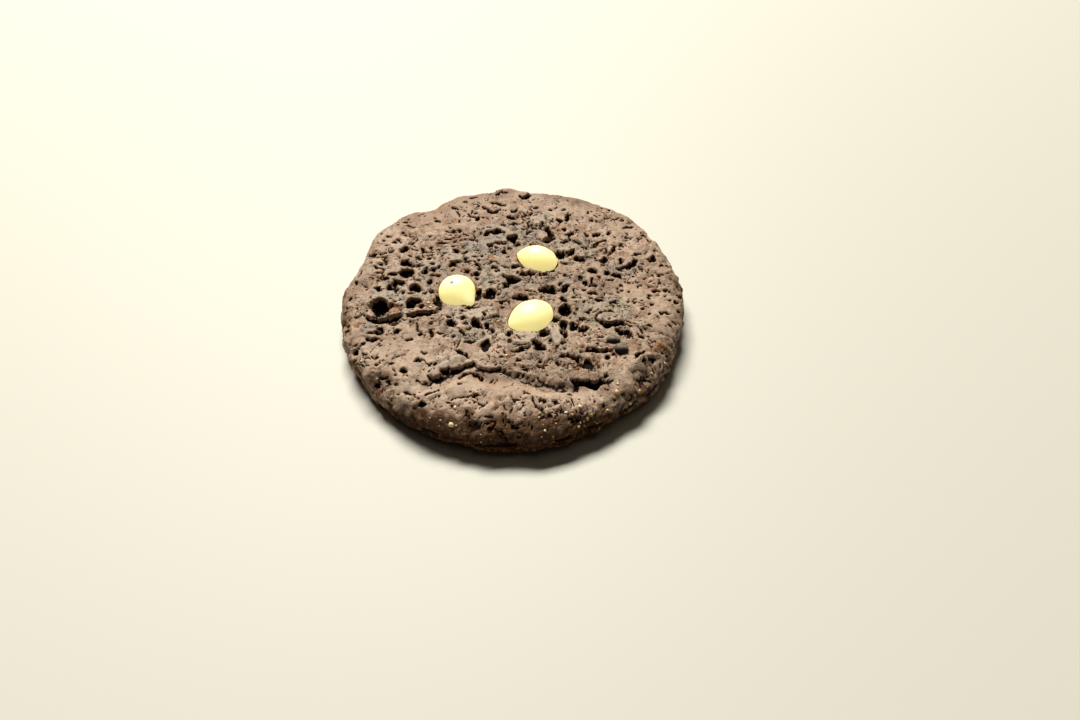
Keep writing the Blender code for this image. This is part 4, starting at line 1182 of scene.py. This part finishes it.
class COOKIE_OT_dough(bpy.types.Operator):
    """Models the cookie's dough"""

    bl_idname = "cookie.dough"
    bl_label = "Dough"

    def execute(self, context):
        """Models the round, raises its relief and gives it its finish."""
        piece = model_round()
        mesh = piece.data
        place = read_rows(mesh.vertices, "co", 3, np.float32).astype(float)
        normals = read_rows(mesh.vertex_normals, "vector", 3, np.float32)
        height, masks = dough_relief(place, context.scene.cookie_shape)
        low, high = (np.array(corner) / MM - np.array(PLAN_SHIFT) for corner in (CAD_LOW, CAD_HIGH))
        moved = np.clip(place + normals * height[:, None], low, high)
        mesh.vertices.foreach_set("co", moved.astype(np.float32).ravel())
        edges = read_rows(mesh.edges, "vertices", 2, np.int32)
        # Sunk and groove masks, from which the finish paints shade in hollows and highlight on lump tops
        masks["sunk"] = smoothed(height, edges, SUNK_ROUNDS) - height
        masks["groove"] = smoothed(height, edges, GROOVE_ROUNDS) - height
        for name, values in masks.items():
            add_mask(mesh, name, values)
        bring_into_frame(piece)
        settle(piece, dough_finish(context.scene.cookie_colours), "dough", "cookie")
        return {"FINISHED"}


class COOKIE_OT_drops(bpy.types.Operator):
    """Models the white chocolate drops"""

    bl_idname = "cookie.drops"
    bl_label = "White drops"

    def execute(self, context):
        """Models each drop as a ball drawn out to a soft tip."""
        material = drop_finish(context.scene.cookie_colours)
        for node, centre, half_sizes, turn, tip, tip_length in DROPS:
            clear_selection()
            bpy.ops.mesh.primitive_uv_sphere_add(segments=64, ring_count=40, radius=1.0)
            piece = bpy.context.object
            piece.name = node.replace("white_chip", "drop")
            mean_size = sum(half_sizes) / 3.0
            for vertex in piece.data.vertices:
                toward_tip = max(vertex.co.z, 0.0)
                dent = DROP_DENT * abs(noise.noise(vertex.co * 1.6 + Vector(centre)))
                vertex.co *= 1.0 - dent
                vertex.co.z += tip_length / mean_size * toward_tip ** 6
                vertex.co.x *= 1.0 - DROP_TAPER * toward_tip ** 3
                vertex.co.y *= 1.0 - DROP_TAPER * toward_tip ** 3
            to_tip = UP.rotation_difference(Vector(tip).normalized())
            turned = Matrix.Rotation(radians(turn), 4, "Z")
            sizes = Matrix.Diagonal((*half_sizes, 1.0))
            moved = Matrix.Translation(centre)
            piece.data.transform(moved @ turned @ sizes @ turned.inverted() @ to_tip.to_matrix().to_4x4())
            bring_into_frame(piece)
            settle(piece, material, "white_chocolate", node)
        return {"FINISHED"}


class COOKIE_OT_beads(bpy.types.Operator):
    """Models the smooth chocolate beads"""

    bl_idname = "cookie.beads"
    bl_label = "Chocolate beads"

    def execute(self, context):
        """Sinks each bead by half into the top of the dough."""
        tree = BVHTree.FromObject(bpy.data.objects["dough"], context.evaluated_depsgraph_get())
        beads = []
        for x, y, half_width, half_length, height in BEADS:
            middle = tree.ray_cast((Vector((x, y, RAY_HEIGHT)) + PLAN_SHIFT) * MM, -UP)[0]
            clear_selection()
            bpy.ops.mesh.primitive_uv_sphere_add(segments=48, ring_count=24, radius=1.0)
            bead = bpy.context.object
            depth = read_rows(bead.data.vertices, "co", 3, np.float32).astype(float)[:, 1]
            # Painted shade: marks the front side of each bead to be painted black
            add_mask(bead.data, "front", falling(depth, -0.1, 0.55))
            for vertex in bead.data.vertices:
                vertex.co *= 1.0 + BEAD_UNEVENNESS * noise.noise(vertex.co * 0.9 + Vector((x, y, 0.0)))
            sizes = Matrix.Diagonal((half_width * MM, half_length * MM, height * MM, 1.0))
            bead.data.transform(Matrix.Translation(middle) @ sizes)
            beads.append(bead)
        piece = joined("chocolate_beads", beads)
        settle(piece, bead_finish(context.scene.cookie_colours), "dough")
        return {"FINISHED"}


def model_bit(name, seed, squash, fineness):
    """One small angular bit, about one millimetre across."""
    clear_selection()
    bpy.ops.mesh.primitive_ico_sphere_add(subdivisions=fineness, radius=0.5)
    bit = bpy.context.object
    bit.name = name
    for vertex in bit.data.vertices:
        away = vertex.co.normalized()
        vertex.co *= 1.0 + BIT_UNEVENNESS * noise.noise(away * 1.3 + Vector((seed, 0.0, 0.0)))
        vertex.co.z *= squash
    return bit


def scatter(name, bits, spots, chance):
    """Copies bits onto the dough where these rays meet it, and joins them into one piece."""
    tree = BVHTree.FromObject(bpy.data.objects["dough"], bpy.context.evaluated_depsgraph_get())
    copies = []
    for start, toward, size, sink in spots:
        hit, normal, _, _ = tree.ray_cast((start + PLAN_SHIFT) * MM, (toward - start).normalized())
        if hit is None:
            continue
        copy = bits[chance.randrange(len(bits))].copy()
        copy.data = copy.data.copy()
        bpy.context.scene.collection.objects.link(copy)
        spin = Matrix.Rotation(chance.uniform(0.0, 2.0 * pi), 4, "Z")
        upright = UP.rotation_difference(normal).to_matrix().to_4x4()
        place = Matrix.Translation(hit + normal * size * sink * MM)
        width, depth = chance.uniform(0.8, 1.3), chance.uniform(0.7, 1.0)
        stretch = Matrix.Diagonal((size * width, size * depth, size, 1.0))
        copy.data.transform(place @ upright @ spin @ Matrix.Scale(MM, 4) @ stretch)
        for vertex in copy.data.vertices:
            vertex.co = np.clip(vertex.co, CAD_LOW, CAD_HIGH)
        copies.append(copy)
    for bit in bits:
        bpy.data.objects.remove(bit)
    return joined(name, copies)


def wall_spots(count, chance):
    """Rays to the golden grains: the seen ones first, and then more around the wall."""
    spots = []
    for x, y, size in GRAINS:
        spots.append((CAMERA_PLACE, Vector((x, y, THICKNESS)), size, GRAIN_RISE))
    for _ in range(count):
        angle, height = chance.uniform(0.0, 2.0 * pi), chance.uniform(*GRAIN_HEIGHTS)
        size = chance.uniform(*GRAIN_SIZES)
        x, y = cos(angle), sin(angle)
        start = Vector((WALL_RAY_START * x, WALL_RAY_START * y, height + WALL_RAY_RISE))
        spots.append((start, Vector((WALL_RAY_END * x, WALL_RAY_END * y, height)), size, GRAIN_RISE))
    return spots


def top_spots(count, chance):
    """Rays down to the loose crumbs, more of them where the dough is broken."""
    spots = []
    while len(spots) < count:
        angle, radius = chance.uniform(0.0, 2.0 * pi), CRUMB_REACH * chance.random() ** 0.5
        x, y = radius * cos(angle), radius * sin(angle)
        here = np.array([x]), np.array([y])
        if drop_footprint(*here)[0] < CRUMB_CLEARANCE:
            continue
        if chance.random() < CRUMB_LEAST + (1.0 - CRUMB_LEAST) * zone(*here, ROUGH_ZONES)[0]:
            size = chance.uniform(*CRUMB_SIZES)
            spots.append((Vector((x, y, RAY_HEIGHT)), Vector((x, y, 0.0)), size, CRUMB_RISE))
    return spots


class COOKIE_OT_grains(bpy.types.Operator):
    """Scatters golden grains over the side wall"""

    bl_idname = "cookie.grains"
    bl_label = "Golden grains"

    def execute(self, context):
        """Sets golden grains in the dough of the wall."""
        chance = random.Random(5)
        colours = context.scene.cookie_colours
        bits = [model_bit("grain", seed, 0.7, 2) for seed in range(3)]
        spots = wall_spots(context.scene.cookie_shape.grain_count, chance)
        piece = scatter("golden_grains", bits, spots, chance)
        settle(piece, grain_finish("golden_grain", colours.grain_cream, colours.grain_gold), "dough")
        return {"FINISHED"}


class COOKIE_OT_crumbs(bpy.types.Operator):
    """Scatters loose crumbs over the top"""

    bl_idname = "cookie.crumbs"
    bl_label = "Loose crumbs"

    def execute(self, context):
        """Lays loose crumbs of dough on the broken parts of the top."""
        chance = random.Random(11)
        colours = context.scene.cookie_colours
        bits = [model_bit("crumb", seed, 0.8, 1) for seed in range(9, 13)]
        spots = top_spots(context.scene.cookie_shape.crumb_count, chance)
        piece = scatter("loose_crumbs", bits, spots, chance)
        settle(piece, grain_finish("crumb", colours.skin_pale, colours.chocolate_dark), "dough")
        return {"FINISHED"}


def add_light(name, place, size, power, colour):
    """A soft oblong light that points at the cookie."""
    data = bpy.data.lights.new(name, "AREA")
    data.shape = "RECTANGLE"
    data.size, data.size_y = size
    data.energy = power
    data.color = colour
    light = bpy.data.objects.new(name, data)
    light.location = place
    light.rotation_euler = (-Vector(place)).to_track_quat("-Z", "Y").to_euler()
    bpy.context.scene.collection.objects.link(light)


def add_room(backdrop):
    """A dim warm room that lights the cookie, with a pale backdrop that only the camera sees."""
    world = bpy.data.worlds.new("room")
    world.use_nodes = True
    nodes, links = world.node_tree.nodes, world.node_tree.links
    glow = nodes["Background"]
    glow.inputs["Color"].default_value = (*ROOM_COLOUR, 1.0)
    glow.inputs["Strength"].default_value = ROOM_STRENGTH
    wall = nodes.new("ShaderNodeBackground")
    wall.inputs["Color"].default_value = (*backdrop, 1.0)
    blend = nodes.new("ShaderNodeMixShader")
    path = nodes.new("ShaderNodeLightPath")
    links.new(path.outputs["Is Camera Ray"], blend.inputs[0])
    links.new(glow.outputs[0], blend.inputs[1])
    links.new(wall.outputs[0], blend.inputs[2])
    links.new(blend.outputs[0], nodes["World Output"].inputs["Surface"])
    bpy.context.scene.world = world


def add_camera():
    """The photograph's camera, turned down and rolled about its own view."""
    tilt, roll = radians(CAMERA_DOWN), radians(CAMERA_ROLL)
    right = Vector((1.0, 0.0, 0.0))
    up = Vector((0.0, sin(tilt), cos(tilt)))
    back = Vector((0.0, -cos(tilt), sin(tilt)))
    rolled_right = cos(roll) * right + sin(roll) * up
    rolled_up = cos(roll) * up - sin(roll) * right
    lens = bpy.data.cameras.new("camera")
    lens.lens = CAMERA_LENS
    lens.sensor_width = SENSOR_WIDTH
    lens.clip_start = 0.001
    camera = bpy.data.objects.new("camera", lens)
    turned = Matrix((rolled_right, rolled_up, back)).transposed().to_4x4()
    camera.matrix_world = Matrix.Translation((CAMERA_PLACE + PLAN_SHIFT) * MM) @ turned
    bpy.context.scene.collection.objects.link(camera)
    bpy.context.scene.camera = camera


class COOKIE_OT_stage(bpy.types.Operator):
    """Adds the floor, the soft lights and the camera"""

    bl_idname = "cookie.stage"
    bl_label = "Stage"

    def execute(self, context):
        """Adds the floor just under the cookie, and then the lights, the room and the camera."""
        colours = context.scene.cookie_colours
        clear_selection()
        bpy.ops.mesh.primitive_plane_add(size=FLOOR_SIZE, location=(0.0, 0.0, FLOOR_HEIGHT))
        floor = bpy.context.object
        floor.name = "floor"
        paint = Finish("floor")
        paint.set(Base_Color=colours.floor, Roughness=0.6)
        floor.data.materials.append(paint.material)
        for light in LIGHTS:
            add_light(*light)
        add_room(colours.backdrop)
        add_camera()
        context.scene.view_settings.view_transform = "Standard"
        return {"FINISHED"}


class COOKIE_PT_panel(bpy.types.Panel):
    """Lists the cookie's pieces and settings"""

    bl_label = "Cookie"
    bl_space_type = "VIEW_3D"
    bl_region_type = "UI"
    bl_category = "Cookie"

    def draw(self, context):
        """Draws the settings and a button for each step."""
        for group in (context.scene.cookie_shape, context.scene.cookie_colours):
            for name in group.__annotations__:
                self.layout.prop(group, name)
        for operator in OPERATORS:
            self.layout.operator(operator.bl_idname)


OPERATORS = (
    COOKIE_OT_dough, COOKIE_OT_drops, COOKIE_OT_beads, COOKIE_OT_grains, COOKIE_OT_crumbs, COOKIE_OT_stage)
CLASSES = (CookieShape, CookieColours, *OPERATORS, COOKIE_PT_panel)


def register():
    """Registers the settings, operators and panel."""
    for kind in CLASSES:
        bpy.utils.register_class(kind)
    bpy.types.Scene.cookie_shape = bpy.props.PointerProperty(type=CookieShape)
    bpy.types.Scene.cookie_colours = bpy.props.PointerProperty(type=CookieColours)


def unregister():
    """Removes them again."""
    del bpy.types.Scene.cookie_colours
    del bpy.types.Scene.cookie_shape
    for kind in reversed(CLASSES):
        bpy.utils.unregister_class(kind)


def main():
    """Registers the add-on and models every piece."""
    register()
    bpy.ops.cookie.dough()
    bpy.ops.cookie.drops()
    bpy.ops.cookie.beads()
    bpy.ops.cookie.grains()
    bpy.ops.cookie.crumbs()
    bpy.ops.cookie.stage()


if __name__ == "__main__":
    main()
